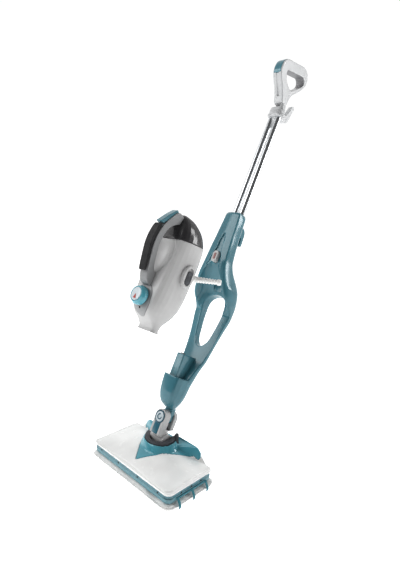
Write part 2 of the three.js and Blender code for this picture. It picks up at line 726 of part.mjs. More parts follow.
// Outline of the loop handle in n and p.
function handleOutline() {
  const shape = new THREE.Shape();
  shape.moveTo(6, HANDLE.collarTop);
  shape.lineTo(31.5, HANDLE.collarTop);
  shape.quadraticCurveTo(39, 958, 57, 978);
  shape.quadraticCurveTo(76, 994, 82, 1008);
  shape.quadraticCurveTo(88, 1046, 62, 1058);
  shape.lineTo(2, 1088);
  shape.quadraticCurveTo(-24, 1102, -38, 1088);
  shape.quadraticCurveTo(-50, 1074, -46, 1054);
  shape.quadraticCurveTo(-34, 1024, -8, 994);
  shape.quadraticCurveTo(8, 972, 6, HANDLE.collarTop);
  const hole = new THREE.Path();
  hole.moveTo(22, 992);
  hole.quadraticCurveTo(10, 990, 2, 1000);
  hole.lineTo(-32, 1042);
  hole.quadraticCurveTo(-38, 1056, -26, 1064);
  hole.quadraticCurveTo(-20, 1067, -12, 1062);
  hole.lineTo(52, 1030);
  hole.quadraticCurveTo(58, 1024, 52, 1012);
  hole.quadraticCurveTo(42, 996, 22, 992);
  shape.holes.push(hole);
  return shape;
}

// A closed polygon pushed outward by a distance; its points run anticlockwise.
function grown(points, distance) {
  const corners = points.map(([x, y]) => new THREE.Vector2(x, y));
  const normal = (from, to) => {
    const edge = to.clone().sub(from).normalize();
    return new THREE.Vector2(edge.y, -edge.x);
  };
  return new THREE.Shape(corners.map((corner, i) => {
    const before = normal(corners.at(i - 1), corner);
    const after = normal(corner, corners[(i + 1) % corners.length]);
    const bisector = before.clone().add(after).normalize();
    return bisector.multiplyScalar(distance / bisector.dot(after)).add(corner);
  }));
}

// Region of the loop that the soft underside grip fills, in n and p.
const GRIP_REGION = [
  [50, 1014], [62, 1024], [57, 1037], [-10, 1071], [-34, 1075], [-44, 1062], [-34, 1036],
  [-20, 1040], [20, 1030],
];

// Region of the loop that the coloured cap fills, in n and p.
const CAP_REGION = [[64, 1003], [110, 1003], [110, 1090], [50, 1090], [50, 1058], [71, 1044]];

function handlePieces() {
  const loop = slab(handleOutline(), HANDLE.half, HANDLE.bevel, 6);
  const grip = slab(grown(GRIP_REGION, 0), HANDLE.half - 3);
  const cap = slab(grown(CAP_REGION, 0), HANDLE.half - 3.5);
  const tubes = [-1, 1].map((side) => rod(
    at(side * TUBE.x, TUBE.n, 880), at(side * TUBE.x, TUBE.n, TUBE.to + 1.5), TUBE.radius + GAP, 16,
  ));
  const collarRing = (p, inset) => roundedRing(
    22.6 - inset, 14 - inset, 8, p, -TUBE.n, 4,
  );
  const { collarLow, collarTop } = HANDLE;
  const collar = cut(
    loft([collarRing(collarLow, 1.5), collarRing(collarLow + 4, 0), collarRing(collarTop - GAP, 4)]),
    ...tubes,
    rod(at(0, -30, 916), at(0, 12, 916), 3.3, 16),
  );
  const rim = slab(grown(GRIP_REGION, GAP), HANDLE.half - 3 + GAP);
  const seat = slab(grown(CAP_REGION, GAP), HANDLE.half - 3.5 + GAP);
  return {
    frame: largest(cut(loop, rim, seat)),
    grip: largest(loop.intersect(grip)),
    cap: largest(loop.intersect(cap)),
    collar,
  };
}

// Swivelling cord hook on the back of the collar, with its pivot stem.
function upperHook() {
  const shape = new THREE.Shape();
  shape.moveTo(2, 906);
  shape.lineTo(-14, 904);
  shape.quadraticCurveTo(-28, 906, -33, 922);
  shape.lineTo(-41, 964);
  shape.absarc(-35.5, 967, 6, Math.PI, 0.15 * Math.PI, true);
  shape.lineTo(-19, 930);
  shape.quadraticCurveTo(-16, 926, 2, 926);
  shape.closePath();
  return join(slab(shape, 7.5, 2, 5), rod(at(0, 0, 916), at(0, 10, 916), 3, 16));
}

// ---- hand-held steamer -------------------------------------------------------------------
// Its own frame puts the mouth at the origin, with u forwards and v up.
const STEAMER = [
  station(0, 15, -15, 25, 31, 0, 3.2),
  station(5, 13, -13, 23, 28.5, 0, 3.2),
  station(18, 21, -16, 22, 30, 2, 3.2),
  station(37, 45, -28, 23, 38, 6, 3.4),
  station(49, 51, -34, 26, 43, 6, 3.5),
  station(69, 54, -41, 30, 48, 5, 3.5),
  station(105, 54, -45, 35, 51, 3, 3.5),
  station(185, 50, -47, 37, 52, 0, 3.5),
  station(222, 47, -46, 34, 50, 0, 3.4),
  station(234, 44.5, -45, 31, 47.5, 0, 3.2),
  station(250, 43, -39, 26, 43, 0, 3),
  station(264, 41, -30, 20, 37, 2, 2.8),
  station(282, 37.5, -8, 12, 23, 9, 2.4),
  station(288, 34, 4, 8, 14, 15, 2.2),
  station(291, 30, 11, 4, 7, 20, 2),
];
const SCOOP = { u: 75, v: 185, radii: [50, 42, 62] };
const BAR = 13;                   // half the width of the steamer's handle bar
const PUMP_U = -12;               // where the pump and the tank's outlet sit along u
const CAP = { v: 251, radius: 13 };
const BOSS = { u: -5, v: 150, halfU: 19, halfV: 28, out: 60 };
const SLIDER = { half: 9.4, length: 33, slot: 42, v: 147 };

function scoop(grow) {
  const geometry = new THREE.SphereGeometry(1, 16, 10);
  const [x, u, v] = SCOOP.radii.map((radius) => radius + grow);
  geometry.scale(x, u, v);
  geometry.translate(0, -SCOOP.u, SCOOP.v);
  return solid(geometry);
}

const steamerForm = (inset) => cut(loft(STEAMER.map((s) => bodyRing(s, inset))), scoop(inset));

// Everything under the shell and tank parting plane, moved up by offset.
function underCut(offset) {
  const line = (u) => CUT.front + CUT.slope * (CUT.at - u) + offset;
  return slab(new THREE.Shape([[-90, -20], [150, -20], [150, line(150)], [-90, line(-90)]]
    .map(([u, v]) => new THREE.Vector2(u, v))), 120);
}

// Oval that the control panel fills on the front of the steamer.
function panelColumn(grow) {
  const shape = new THREE.Shape();
  shape.absellipse(0, 66, 27 + grow, 39 + grow, 0, TAU, false);
  return plate(shape, 20, 90, 10);
}

// A prism along x from an outline in u and v, from one x to another.
function sidePlate(shape, from, to, bevel = 0, curveSegments = 10) {
  const half = (to - from) / 2;
  return slab(shape, half, bevel, curveSegments).translate([(from + to) / 2, 0, 0]);
}

function capsuleOutline(half, length, u, v) {
  const shape = new THREE.Shape();
  const straight = length / 2 - half;
  shape.absarc(u, v + straight, half, 0, Math.PI, false);
  shape.absarc(u, v - straight, half, Math.PI, TAU, false);
  shape.closePath();
  return shape;
}

// Handle bar outline in u and v, from the control panel over to the tank's top.
function barOutline() {
  const line = [
    [44, 96], [66, 98], [78, 116], [86, 155], [93.5, 196], [87, 236], [72, 264], [57, 286],
    [39, 283], [26, 272], [36, 264], [56, 252], [72, 233], [78, 197], [71, 157], [64, 134], [46, 118],
  ];
  const shape = new THREE.Shape();
  const middle = (i) => {
    const [a, b] = [line[i % line.length], line[(i + 1) % line.length]];
    return [(a[0] + b[0]) / 2, (a[1] + b[1]) / 2];
  };
  shape.moveTo(...middle(0));
  for (const i of range(line.length)) {
    const corner = line[(i + 1) % line.length];
    shape.quadraticCurveTo(...corner, ...middle(i + 1));
  }
  return shape;
}

const BAR_GRIP = [
  [83, 124], [88, 156], [94, 198], [87, 237], [95, 241], [102.5, 198], [94.5, 156], [87, 123],
];
const BAR_BUTTON = [[86, 241], [95, 244], [78, 268], [60, 289], [53, 284], [70, 262]];

function steamerHandle() {
  const bar = slab(barOutline(), BAR, 3, 3);
  const gripSeat = slab(grown([...BAR_GRIP].reverse(), GAP), BAR - 2 + GAP);
  const buttonSeat = slab(grown(BAR_BUTTON, GAP), BAR - 3 + GAP);
  const travelSeat = buttonSeat.translate([0, 2.1, -1.7]);
  return largest(cut(
    bar, gripSeat, buttonSeat, travelSeat,
    loft(STEAMER.map((s) => bodyRing(s, -GAP))),
    panelColumn(GAP).intersect(loft(STEAMER.map((s) => bodyRing(s, -1.2 - GAP)))),
  ));
}

const steamerGrip = () => slab(grown([...BAR_GRIP].reverse(), 0), BAR - 2, 2, 1);
const steamButton = () => slab(grown(BAR_BUTTON, 0), BAR - 3, 1.5, 1);

// Cavity in the mouth that takes the dock spigot, open below and behind.
const mouthCavity = (grow) => poleBlock([-13.8 - grow, -70, -6], [13.8 + grow, 9.7 + grow, 64 + grow]);

function steamerShells() {
  const outside = steamerForm(0);
  const flush = join(cut(outside, panelColumn(GAP)), steamerForm(1.6));
  const hollow = cut(
    loft(STEAMER.slice(2, 9).map((s) => bodyRing(s, WALL))), scoop(WALL), mouthCavity(WALL),
  ).intersect(underCut(-WALL - 2));
  const skin = cut(
    flush.intersect(underCut(-GAP / 2)),
    hollow,
    mouthCavity(0),
    rod(at(0, 30, DIAL.v), at(0, 90, DIAL.v), 4.4, 16),
    rod(at(0, 30, 44), at(0, 90, 44), 2.7, 12),
    rod(at(0, 0.5, 50), at(0, 0.5, 80), 5.4, 16),
    rod(at(0, PUMP_U, 200), at(0, PUMP_U, 300), 4.9, 12),
    rod(STRAIN.from.clone().addScaledVector(STRAIN.along, -12), STRAIN.from, 6, 16),
    poleBlock([-3.3, -60, 180], [3.3, -20, 186]),
  );
  const half = (side) => largest(skin.intersect(poleBlock(
    side > 0 ? [GAP / 2, -90, -20] : [-90, -90, -20], side > 0 ? [90, 90, 300] : [-GAP / 2, 90, 300],
  )));
  return { right: half(1), left: half(-1) };
}

function waterTank() {
  const above = cut(steamerForm(0), underCut(GAP / 2));
  const hollow = cut(
    loft(STEAMER.slice(8, -1).map((s) => bodyRing(s, 2))), scoop(2), underCut(2.2),
  );
  return largest(cut(
    above, hollow,
    rod(at(0, PUMP_U, 200), at(0, PUMP_U, 240), 4.9, 12),
    tankCap(GAP),
  ));
}

// Screw-in filler cap on the back of the tank, or the seat that it fits when grown.
const tankCap = (grow = 0) => join(
  rod(at(0, -28 + grow, CAP.v), at(0, -39, CAP.v), 10 + grow, 20),
  rod(at(0, -38.6 + grow, CAP.v), at(0, -41.6 - 40 * grow, CAP.v), CAP.radius + grow, 24),
);

const tankValve = () => cut(
  rod(at(0, PUMP_U, 216), at(0, PUMP_U, 232), 4.6, 12),
  rod(at(0, PUMP_U, 210), at(0, PUMP_U, 240), 2.4, 8),
);

function dialPanel() {
  const grownForm = loft(STEAMER.slice(0, 8).map((s) => bodyRing(s, -1.2)));
  const insetForm = loft(STEAMER.slice(0, 8).map((s) => bodyRing(s, 1.3)));
  return cut(
    largest(cut(grownForm, insetForm).intersect(panelColumn(0))),
    rod(at(0, 30, DIAL.v), at(0, 90, DIAL.v), 4.4, 16),
    rod(at(0, 30, 44), at(0, 90, 44), 2.7, 12),
  );
}

const ledLens = () => rod(at(0, 44, 44), at(0, 51, 44), 2.3, 12);

// Dial knob with a stem, turning about u.
function steamDial() {
  const { v, radius, from, depth } = DIAL;
  return cut(
    join(
      rod(at(0, from, v), at(0, from + depth * 0.6, v), radius, 28),
      rod(at(0, from + depth * 0.6, v), at(0, from + depth, v), radius, 28, radius - 4),
      rod(at(0, 38, v), at(0, from, v), 4, 16),
    ),
    rod(at(0, from + depth - 2, v), at(0, from + depth + 2, v), 16.3, 24),
  );
}

const dialFace = () => cut(
  rod(at(0, DIAL.from + DIAL.depth - 1.7, DIAL.v), at(0, DIAL.from + DIAL.depth + 0.4, DIAL.v), 16, 24),
  plate(pointerShape(GAP), DIAL.from + DIAL.depth - 0.8, 90),
);

// Pointer triangle on the dial's face, in x and v.
function pointerShape(grow) {
  const points = [[-5, DIAL.v - 11], [5, DIAL.v - 11], [0, DIAL.v + 1]];
  return grown(points, grow);
}

const dialPointer = () => plate(
  pointerShape(0), DIAL.from + DIAL.depth - 0.5, DIAL.from + DIAL.depth + 0.8,
);

// Oval boss on the right flank, with the slot its slider runs in.
function sideBoss() {
  const shape = new THREE.Shape();
  shape.absellipse(BOSS.u, BOSS.v, BOSS.halfU, BOSS.halfV, 0, TAU, false);
  return largest(cut(
    sidePlate(shape, 44, BOSS.out, 2.5, 14),
    loft(STEAMER.map((s) => bodyRing(s, -GAP))),
    sidePlate(capsuleOutline(SLIDER.half + GAP, SLIDER.slot, BOSS.u, BOSS.v), BOSS.out - 5, 80, 0, 6),
  ));
}

const bossSlider = () => sidePlate(
  capsuleOutline(SLIDER.half, SLIDER.length, BOSS.u, SLIDER.v), BOSS.out - 4.7, BOSS.out + 1.2, 1, 5,
);

// Ribbed strain relief where the cord comes in, with an open bore.
const STRAIN = {
  from: at(47.8, -35, 155),
  along: at(0.84, -0.5, 0.2).normalize(),
};

function strainRelief() {
  const outline = [[3.8, -7], [5.6, -7], [5.6, 0], [8.5, 0], [8.5, 6]]
    .map(([radius, z]) => new THREE.Vector2(radius, z));
  for (const i of range(7)) {
    const [z, radius] = [8 + i * 7, mix(7.6, 6.4, i / 6)];
    outline.push(new THREE.Vector2(radius - 1.6, z - 1), new THREE.Vector2(radius, z + 1));
    outline.push(new THREE.Vector2(radius, z + 3.5));
  }
  for (const [radius, z] of [[5, 56], [7.6, 58], [7.6, 64], [6, 67], [3.8, 67]]) {
    outline.push(new THREE.Vector2(radius, z));
  }
  outline.push(outline[0].clone());
  const geometry = new THREE.LatheGeometry(outline, 11);
  geometry.applyQuaternion(new THREE.Quaternion()
    .setFromUnitVectors(new THREE.Vector3(0, 1, 0), STRAIN.along));
  geometry.translate(...STRAIN.from.toArray());
  return solid(geometry);
}

const mouthNozzle = () => cut(
  rod(at(0, 0.5, 62), at(0, 0.5, 72), 5, 20), rod(at(0, 0.5, 60), at(0, 0.5, 80), 2.4, 14),
);

const boiler = () => cut(
  join(rod(at(0, -6, 82), at(0, -6, 142), 23, 32), rod(at(0, 0.5, 72.3), at(0, 0.5, 84), 4.2, 16)),
  rod(at(0, 0.5, 60), at(0, 0.5, 84), 2.2, 12),
);

const pump = () => join(
  rod(at(0, PUMP_U, 158), at(0, PUMP_U, 196), 13, 20),
  rod(at(0, PUMP_U, 196), at(0, PUMP_U, 204), 6, 12),
);

const pumpTube = () => rod(at(0, PUMP_U, 142.3), at(0, PUMP_U, 157.7), 3, 10);

const waterTube = () => rod(at(0, PUMP_U, 204.3), at(0, PUMP_U, 215.7), 3, 10);

const circuitBoard = () => poleBlock([-20, 33, 52], [20, 34.6, 108]);

// ---- assembly ------------------------------------------------------------------------------
const FINISHES = {
  teal: { color: COLOURS.teal, roughness: 0.28, metalness: 0 },
  deepTeal: { color: COLOURS.deepTeal, roughness: 0.35, metalness: 0 },
  white: { color: COLOURS.white, roughness: 0.3, metalness: 0 },
  light: { color: COLOURS.light, roughness: 0.35, metalness: 0 },
  silver: { color: COLOURS.silver, roughness: 0.4, metalness: 0 },
  grey: { color: COLOURS.grey, roughness: 0.45, metalness: 0 },
  dark: { color: COLOURS.dark, roughness: 0.5, metalness: 0 },
  black: { color: COLOURS.black, roughness: 0.7, metalness: 0 },
  rubber: { color: COLOURS.rubber, roughness: 0.8, metalness: 0 },
  smoke: { color: COLOURS.smoke, roughness: 0.15, metalness: 0 },
  pad: { color: COLOURS.pad, roughness: 0.95, metalness: 0 },
  board: { color: COLOURS.board, roughness: 0.6, metalness: 0 },
  red: { color: COLOURS.red, roughness: 0.4, metalness: 0 },
  chrome: { color: COLOURS.chrome, roughness: 0.12, metalness: 1 },
  steel: { color: COLOURS.steel, roughness: 0.35, metalness: 1 },
  brass: { color: COLOURS.brass, roughness: 0.35, metalness: 1 },
};

const IN_ROW = new THREE.Matrix4();
const ON_POLE = new THREE.Matrix4()
  .makeTranslation(0, PIN.y, PIN.z)
  .multiply(new THREE.Matrix4().makeRotationX(-radians(LEAN)));
const ON_STEAMER = ON_POLE.clone().multiply(
  new THREE.Matrix4().setPosition(at(0, MOUTH.n + DRAWN.n, MOUTH.p + DRAWN.p)),
);

function part(name, finish, body, frame = ON_POLE) {
  const mesh = new THREE.Mesh(geometryOf(body), new THREE.MeshStandardMaterial(FINISHES[finish]));
  mesh.name = name;
  mesh.applyMatrix4(frame);
  return mesh;
}

function headParts() {
  const { cover, shell } = headShells();
  const inRow = (name, finish, body) => part(name, finish, body, IN_ROW);
  return [
    inRow('mop_pad', 'pad', padSolid()),
    inRow('pad_loops_left', 'teal', padLoops(-1)),
    inRow('pad_loops_right', 'teal', padLoops(1)),
    inRow('base_tray', 'teal', baseTray()),
    inRow('steam_rails', 'steel', steamRails()),
    inRow('head_shell', 'white', shell),
    inRow('head_cover', 'teal', cover),
    inRow('neck_saddle', 'dark', saddle()),
    inRow('tilt_axle_left', 'steel', tiltAxle(-1)),
    inRow('tilt_axle_right', 'steel', tiltAxle(1)),
  ];
}

const neckParts = () => [
  part('neck_fork', 'light', neckFork()),
  part('fork_inlay', 'deepTeal', forkInlay()),
  part('badge_ring', 'deepTeal', badgeRing()),
  part('badge_disc', 'white', badgeDisc()),
  part('swing_pin', 'steel', swingPin()),
  part('neck_hose', 'rubber', neckHose()),
];

function bodyParts() {
  const shells = bodyShells();
  return [
    part('body_front_shell', 'teal', shells.front),
    part('body_rear_shell', 'teal', shells.rear),
    ...SCREWS.map((screw, i) => part(`body_screw_${i + 1}`, 'steel', bodyScrew(screw))),
    part('dock_spigot', 'teal', dockSpigot()),
    part('spigot_seal', 'rubber', spigotSeal()),
    part('steam_riser', 'brass', steamRiser()),
    part('tube_socket', 'dark', tubeSocket()),
    part('pole_tube_left', 'chrome', poleTube(-1)),
    part('pole_tube_right', 'chrome', poleTube(1)),
    part('release_button', 'light', releaseButton()),
    part('release_mark', 'red', releaseMark()),
    part('release_latch', 'grey', releaseLatch()),
    part('release_spring', 'steel', releaseSpring()),
    part('lower_cord_hook', 'teal', lowerHook()),
  ];
}

function handleParts() {
  const { frame, grip, cap, collar } = handlePieces();
  return [
    part('handle_collar', 'light', collar),
    part('handle_frame', 'light', frame),
    part('handle_grip', 'grey', grip),
    part('handle_cap', 'teal', cap),
    part('upper_cord_hook', 'light', upperHook()),
  ];
}

function steamerParts() {
  const shells = steamerShells();
  const onSteamer = (name, finish, body) => part(name, finish, body, ON_STEAMER);
  return [
    onSteamer('steamer_shell_left', 'light', shells.left),
    onSteamer('steamer_shell_right', 'light', shells.right),
    onSteamer('water_tank', 'smoke', waterTank()),
    onSteamer('tank_cap', 'dark', tankCap()),
    onSteamer('tank_valve', 'rubber', tankValve()),
    onSteamer('steamer_handle', 'silver', steamerHandle()),
    onSteamer('steamer_grip', 'black', steamerGrip()),
    onSteamer('steam_button', 'teal', steamButton()),
    onSteamer('dial_panel', 'grey', dialPanel()),
    onSteamer('led_lens', 'dark', ledLens()),
    onSteamer('steam_dial', 'teal', steamDial()),
    onSteamer('dial_face', 'white', dialFace()),
    onSteamer('dial_pointer', 'red', dialPointer()),
    onSteamer('side_boss', 'light', sideBoss()),
    onSteamer('boss_slider', 'dark', bossSlider()),
    onSteamer('strain_relief', 'white', strainRelief()),
    onSteamer('mouth_nozzle', 'brass', mouthNozzle()),
    onSteamer('boiler', 'steel', boiler()),
    onSteamer('pump', 'dark', pump()),
    onSteamer('pump_tube', 'rubber', pumpTube()),
    onSteamer('water_tube', 'rubber', waterTube()),
    onSteamer('circuit_board', 'board', circuitBoard()),
  ];
}

const mop = new THREE.Group();
mop.name = 'steam_mop';
mop.add(...headParts(), ...neckParts(), ...bodyParts(), ...handleParts(), ...steamerParts());

export default mop;
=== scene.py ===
# Looks of the steam mop: smooth shells, soft goods, materials, light and camera.
import json
import math

import bmesh
import bpy
from mathutils import Matrix, Vector


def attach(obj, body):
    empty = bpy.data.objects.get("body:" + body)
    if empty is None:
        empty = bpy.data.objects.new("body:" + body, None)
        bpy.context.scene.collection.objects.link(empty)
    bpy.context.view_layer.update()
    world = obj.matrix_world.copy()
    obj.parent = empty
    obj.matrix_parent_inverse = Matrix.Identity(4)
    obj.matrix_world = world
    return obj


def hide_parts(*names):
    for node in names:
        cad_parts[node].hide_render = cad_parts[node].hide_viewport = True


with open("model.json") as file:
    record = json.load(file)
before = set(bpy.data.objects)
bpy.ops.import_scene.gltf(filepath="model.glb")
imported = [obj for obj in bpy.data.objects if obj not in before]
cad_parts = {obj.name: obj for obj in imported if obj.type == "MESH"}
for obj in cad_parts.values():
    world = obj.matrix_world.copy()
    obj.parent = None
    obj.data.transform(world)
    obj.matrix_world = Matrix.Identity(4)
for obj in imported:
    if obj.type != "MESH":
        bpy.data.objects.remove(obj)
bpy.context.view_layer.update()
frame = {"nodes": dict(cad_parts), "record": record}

# ---- frames and driving sizes, in millimetres ----
LEAN = math.radians(26.7)
PIN = Vector((0, 46, 124.4))
DRAWN = (172.5, 191)              # steamer's mouth from the pin, in n and p
DIAL = {"v": 69, "from": 57, "depth": 18}
TUBE = {"x": 11.4, "n": 17.8, "radius": 8}
TUBE_HOLE = TUBE["radius"] + 0.3  # radius
PIN_HOLE = 4.3                    # radius
STEM, STEM_HOLE = 3, 3.3          # radii at the cord hooks
HORN_X = 36
PAD = {"half_x": 156, "half_y": 80, "top": 15, "swell": 2.2}

ROW = Matrix.Scale(0.001, 4)
POLE = ROW @ Matrix.Translation(PIN) @ Matrix.Rotation(-LEAN, 4, "X")
STEAMER = POLE @ Matrix.Translation((0, -DRAWN[0], DRAWN[1]))
FRAMES = {"head": ROW, "steamer": STEAMER, "dial": STEAMER, "trigger": STEAMER,
          "slider": STEAMER}      # the other bodies use POLE
SLOTS = {row["node"]: row["material_slot"] for row in frame["record"]["subparts"]}
HINGE_Y = PIN.y + 8 * math.cos(LEAN) - 50 * math.sin(LEAN)
HINGE_Z = PIN.z - 8 * math.sin(LEAN) - 50 * math.cos(LEAN)


# A point in a pole or steamer frame: x across, n forwards, p up the pole.
def at(x, n, p):
    return Vector((x, -n, p))


def mix(a, b, t):
    return a + (b - a) * t


def smooth(value, low, high):
    t = min(1, max(0, (value - low) / (high - low)))
    return t * t * (3 - 2 * t)


# Values of a table's columns between its rows, on curves that never overshoot.
def between(rows, key):
    i = max(k for k in range(len(rows) - 1) if key >= rows[k][0] or k == 0)
    (x0, *low), (x1, *high) = rows[i], rows[i + 1]
    t = (key - x0) / (x1 - x0)
    made = [key]
    for c, (y0, y1) in enumerate(zip(low, high), start=1):
        step = (y1 - y0) / (x1 - x0)
        slopes = []
        for k in (i, i + 1):
            if 0 < k < len(rows) - 1:
                before = (rows[k][c] - rows[k - 1][c]) / (rows[k][0] - rows[k - 1][0])
                after = (rows[k + 1][c] - rows[k][c]) / (rows[k + 1][0] - rows[k][0])
                flat = before * after <= 0
                slopes.append(0 if flat else 2 * before * after / (before + after))
            else:
                slopes.append(step)
        width = x1 - x0
        made.append(
            y0 * (2 * t**3 - 3 * t**2 + 1) + y1 * (3 * t**2 - 2 * t**3)
            + width * (slopes[0] * (t**3 - 2 * t**2 + t) + slopes[1] * (t**3 - t**2))
        )
    return made


# ---- mesh helpers ----
def mesh_object(name, points, faces):
    mesh = bpy.data.meshes.new(name)
    mesh.from_pydata([tuple(p) for p in points], [], faces)
    mesh.validate()
    obj = bpy.data.objects.new(name, mesh)
    bpy.context.scene.collection.objects.link(obj)
    tidy(obj)
    return obj


def tidy(obj):
    made = bmesh.new()
    made.from_mesh(obj.data)
    bmesh.ops.remove_doubles(made, verts=made.verts, dist=1e-4)
    bmesh.ops.recalc_face_normals(made, faces=made.faces)
    made.to_mesh(obj.data)
    made.free()


# A closed skin over rings of equal length.
def loft(name, rings):
    size = len(rings[0])
    points = [p for ring in rings for p in ring]
    faces = []
    for i in range(len(rings) - 1):
        for j in range(size):
            k = (j + 1) % size
            faces.append((i * size + j, i * size + k, (i + 1) * size + k, (i + 1) * size + j))
    for base, ring in ((0, rings[0]), ((len(rings) - 1) * size, rings[-1])):
        points.append(sum(ring, Vector()) / size)
        centre = len(points) - 1
        faces += [(centre, base + j, base + (j + 1) % size) for j in range(size)]
    return mesh_object(name, points, faces)


# A prism from a closed outline of points to the same outline moved by a vector.
def prism(name, outline, move):
    return loft(name, [outline, [p + Vector(move) for p in outline]])


# A prism across x from an outline in n and p.
def slab(name, outline, half, middle=0):
    return prism(name, [at(middle - half, n, p) for n, p in outline], (2 * half, 0, 0))


# A prism along n from an outline in x and p.
def plate(name, outline, rear, front):
    return prism(name, [at(x, rear, p) for x, p in outline], (0, rear - front, 0))


def box(name, low, high):
    (x0, n0, p0), (x1, n1, p1) = low, high
    return plate(name, [(x0, p0), (x1, p0), (x1, p1), (x0, p1)], n0, n1)


def ring_about(centre, along, radius, count=48):
    side = along.orthogonal().normalized()
    other = along.normalized().cross(side)
    turns = [math.tau * i / count for i in range(count)]
    return [centre + radius * (math.cos(t) * side + math.sin(t) * other) for t in turns]


# A round body along a line, from (distance, radius) pairs.
def turned(name, start, along, profile, count=48):
    way = Vector(along).normalized()
    return loft(name, [ring_about(start + way * d, way, max(r, 0.01), count) for d, r in profile])


def rod(name, start, end, radius, count=40):
    return turned(name, start, end - start, [(0, radius), ((end - start).length, radius)], count)


# A rod along n, on the middle plane.
def peg(p, start, end, radius, count=32):
    return rod("peg", at(0, start, p), at(0, end, p), radius, count)


def ellipsoid(name, centre, radii):
    made = bmesh.new()
    bmesh.ops.create_uvsphere(made, u_segments=48, v_segments=32, radius=1)
    mesh = bpy.data.meshes.new(name)
    made.to_mesh(mesh)
    made.free()
    mesh.transform(Matrix.Translation(centre) @ Matrix.Diagonal((*radii, 1)))
    obj = bpy.data.objects.new(name, mesh)
    bpy.context.scene.collection.objects.link(obj)
    return obj


# Smooth closed curve through points, as more points.
def curved(points, per_point=6):
    count, made = len(points), []
    for i in range(count):
        a, b, c, d = (Vector(points[(i + k) % count]) for k in (-1, 0, 1, 2))
        for k in range(per_point):
            t = k / per_point
            made.append(0.5 * (
                2 * b + (c - a) * t + (2 * a - 5 * b + 4 * c - d) * t * t
                + (3 * b - a - 3 * c + d) * t**3
            ))
    return [tuple(p) for p in made]


def arc(start, control, end, t):
    return start * (1 - t) ** 2 + control * 2 * t * (1 - t) + end * t * t


# A polygon with each corner cut back to a curve.
def rounded(points, reach, steps=5):
    made, count = [], len(points)
    for i, corner in enumerate(points):
        corner = Vector(corner)
        ends = []
        for other in (points[i - 1], points[(i + 1) % count]):
            way = Vector(other) - corner
            ends.append(corner + way.normalized() * min(reach, way.length * 0.45))
        made += [arc(ends[0], corner, ends[1], k / steps) for k in range(steps + 1)]
    return [tuple(p) for p in made]


# Points round part of a circle.
def turn(centre, radius, start, stop, steps=12):
    angles = [mix(start, stop, k / steps) for k in range(steps + 1)]
    return [(centre[0] + radius * math.cos(a), centre[1] + radius * math.sin(a)) for a in angles]


def capsule(half, length, x=0, p=0, count=12):
    top = turn((x, p + length / 2 - half), half, 0, math.pi, count)
    return top + [(2 * x - a, 2 * p - b) for a, b in top]


def oval(half_x, half_p, x=0, p=0, count=64):
    turns = [math.tau * i / count for i in range(count)]
    return [(x + half_x * math.cos(t), p + half_p * math.sin(t)) for t in turns]


def modify(obj, kind, **values):
    modifier = obj.modifiers.new(kind, kind)
    for key, value in values.items():
        setattr(modifier, key, value)
    mesh = bpy.data.meshes.new_from_object(
        obj.evaluated_get(bpy.context.evaluated_depsgraph_get())
    )
    obj.modifiers.clear()
    obj.data = mesh
    return obj


def combine(obj, operation, tools):
    for tool in tools:
        bpy.context.view_layer.update()
        modify(obj, "BOOLEAN", operation=operation, object=tool, solver="MANIFOLD")
        bpy.data.objects.remove(tool)
    return obj


def cut(obj, *tools):
    return combine(obj, "DIFFERENCE", tools)


def join(obj, *tools):
    return combine(obj, "UNION", tools)


def meet(obj, *tools):
    return combine(obj, "INTERSECT", tools)


def copy(obj, name):
    made = obj.copy()
    made.data = obj.data.copy()
    made.name = name
    bpy.context.scene.collection.objects.link(made)
    return made


# One even skin over a body, with its edges rounded as a moulding's are.
def moulded(obj, voxel, rounds):
    modify(obj, "REMESH", mode="VOXEL", voxel_size=voxel)
    modify(obj, "SMOOTH", factor=0.5, iterations=rounds)
    return obj


# Rounds the edges of a body that has flat faces.
def bevelled(obj, width, segments=3, angle=32):
    modify(obj, "BEVEL", width=width, segments=segments, limit_method="ANGLE",
           angle_limit=math.radians(angle))
    return obj


def shade(obj, angle=40):
    obj.data.shade_smooth()
    obj.data.set_sharp_from_angle(angle=math.radians(angle))


# Puts a finished body in its place, with its material and the node it stands for.
def finished(obj, name, material, body, node=None, angle=40):
    obj.name = name
    obj.data.transform(FRAMES.get(body, POLE))
    obj.data.materials.clear()
    obj.data.materials.append(material)
    shade(obj, angle)
    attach(obj, body)
    if node:
        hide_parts(node)


# ---- materials ----
def node(tree, kind, inputs=None, **values):
    made = tree.nodes.new(kind)
    for key, value in values.items():
        setattr(made, key, value)
    for key, value in (inputs or {}).items():
        if isinstance(value, bpy.types.NodeSocket):
            tree.links.new(value, made.inputs[key])
        else:
            made.inputs[key].default_value = value
    return made


def noise(tree, place, scale, detail=2, rough=0.5):
    return node(tree, "ShaderNodeTexNoise", {
        "Vector": place, "Scale": scale, "Detail": detail, "Roughness": rough,
    }).outputs["Fac"]


def spread(tree, value, low, high, to_low, to_high):
    return node(tree, "ShaderNodeMapRange", {
        "Value": value, "From Min": low, "From Max": high, "To Min": to_low, "To Max": to_high,
    }).outputs["Result"]


def blended(tree, share, first, second):
    made = node(tree, "ShaderNodeMix", data_type="RGBA")
    for socket, value in ((0, share), (6, first), (7, second)):
        if isinstance(value, bpy.types.NodeSocket):
            tree.links.new(value, made.inputs[socket])
        else:
            made.inputs[socket].default_value = value
    return made.outputs[2]


# A colour from its screen values, brightened or darkened by a share.
def tone(colour, share=1.0):
    linear = [c / 12.92 if c <= 0.04045 else ((c + 0.055) / 1.055) ** 2.4 for c in colour]
    return (*[min(1, c * share) for c in linear], 1)


def blank(name):
    material = bpy.data.materials.new(name)
    material.use_nodes = True
    tree = material.node_tree
    shader = next(n for n in tree.nodes if n.type == "BSDF_PRINCIPLED")
    place = node(tree, "ShaderNodeTexCoord").outputs["Object"]
    return material, tree, shader, place


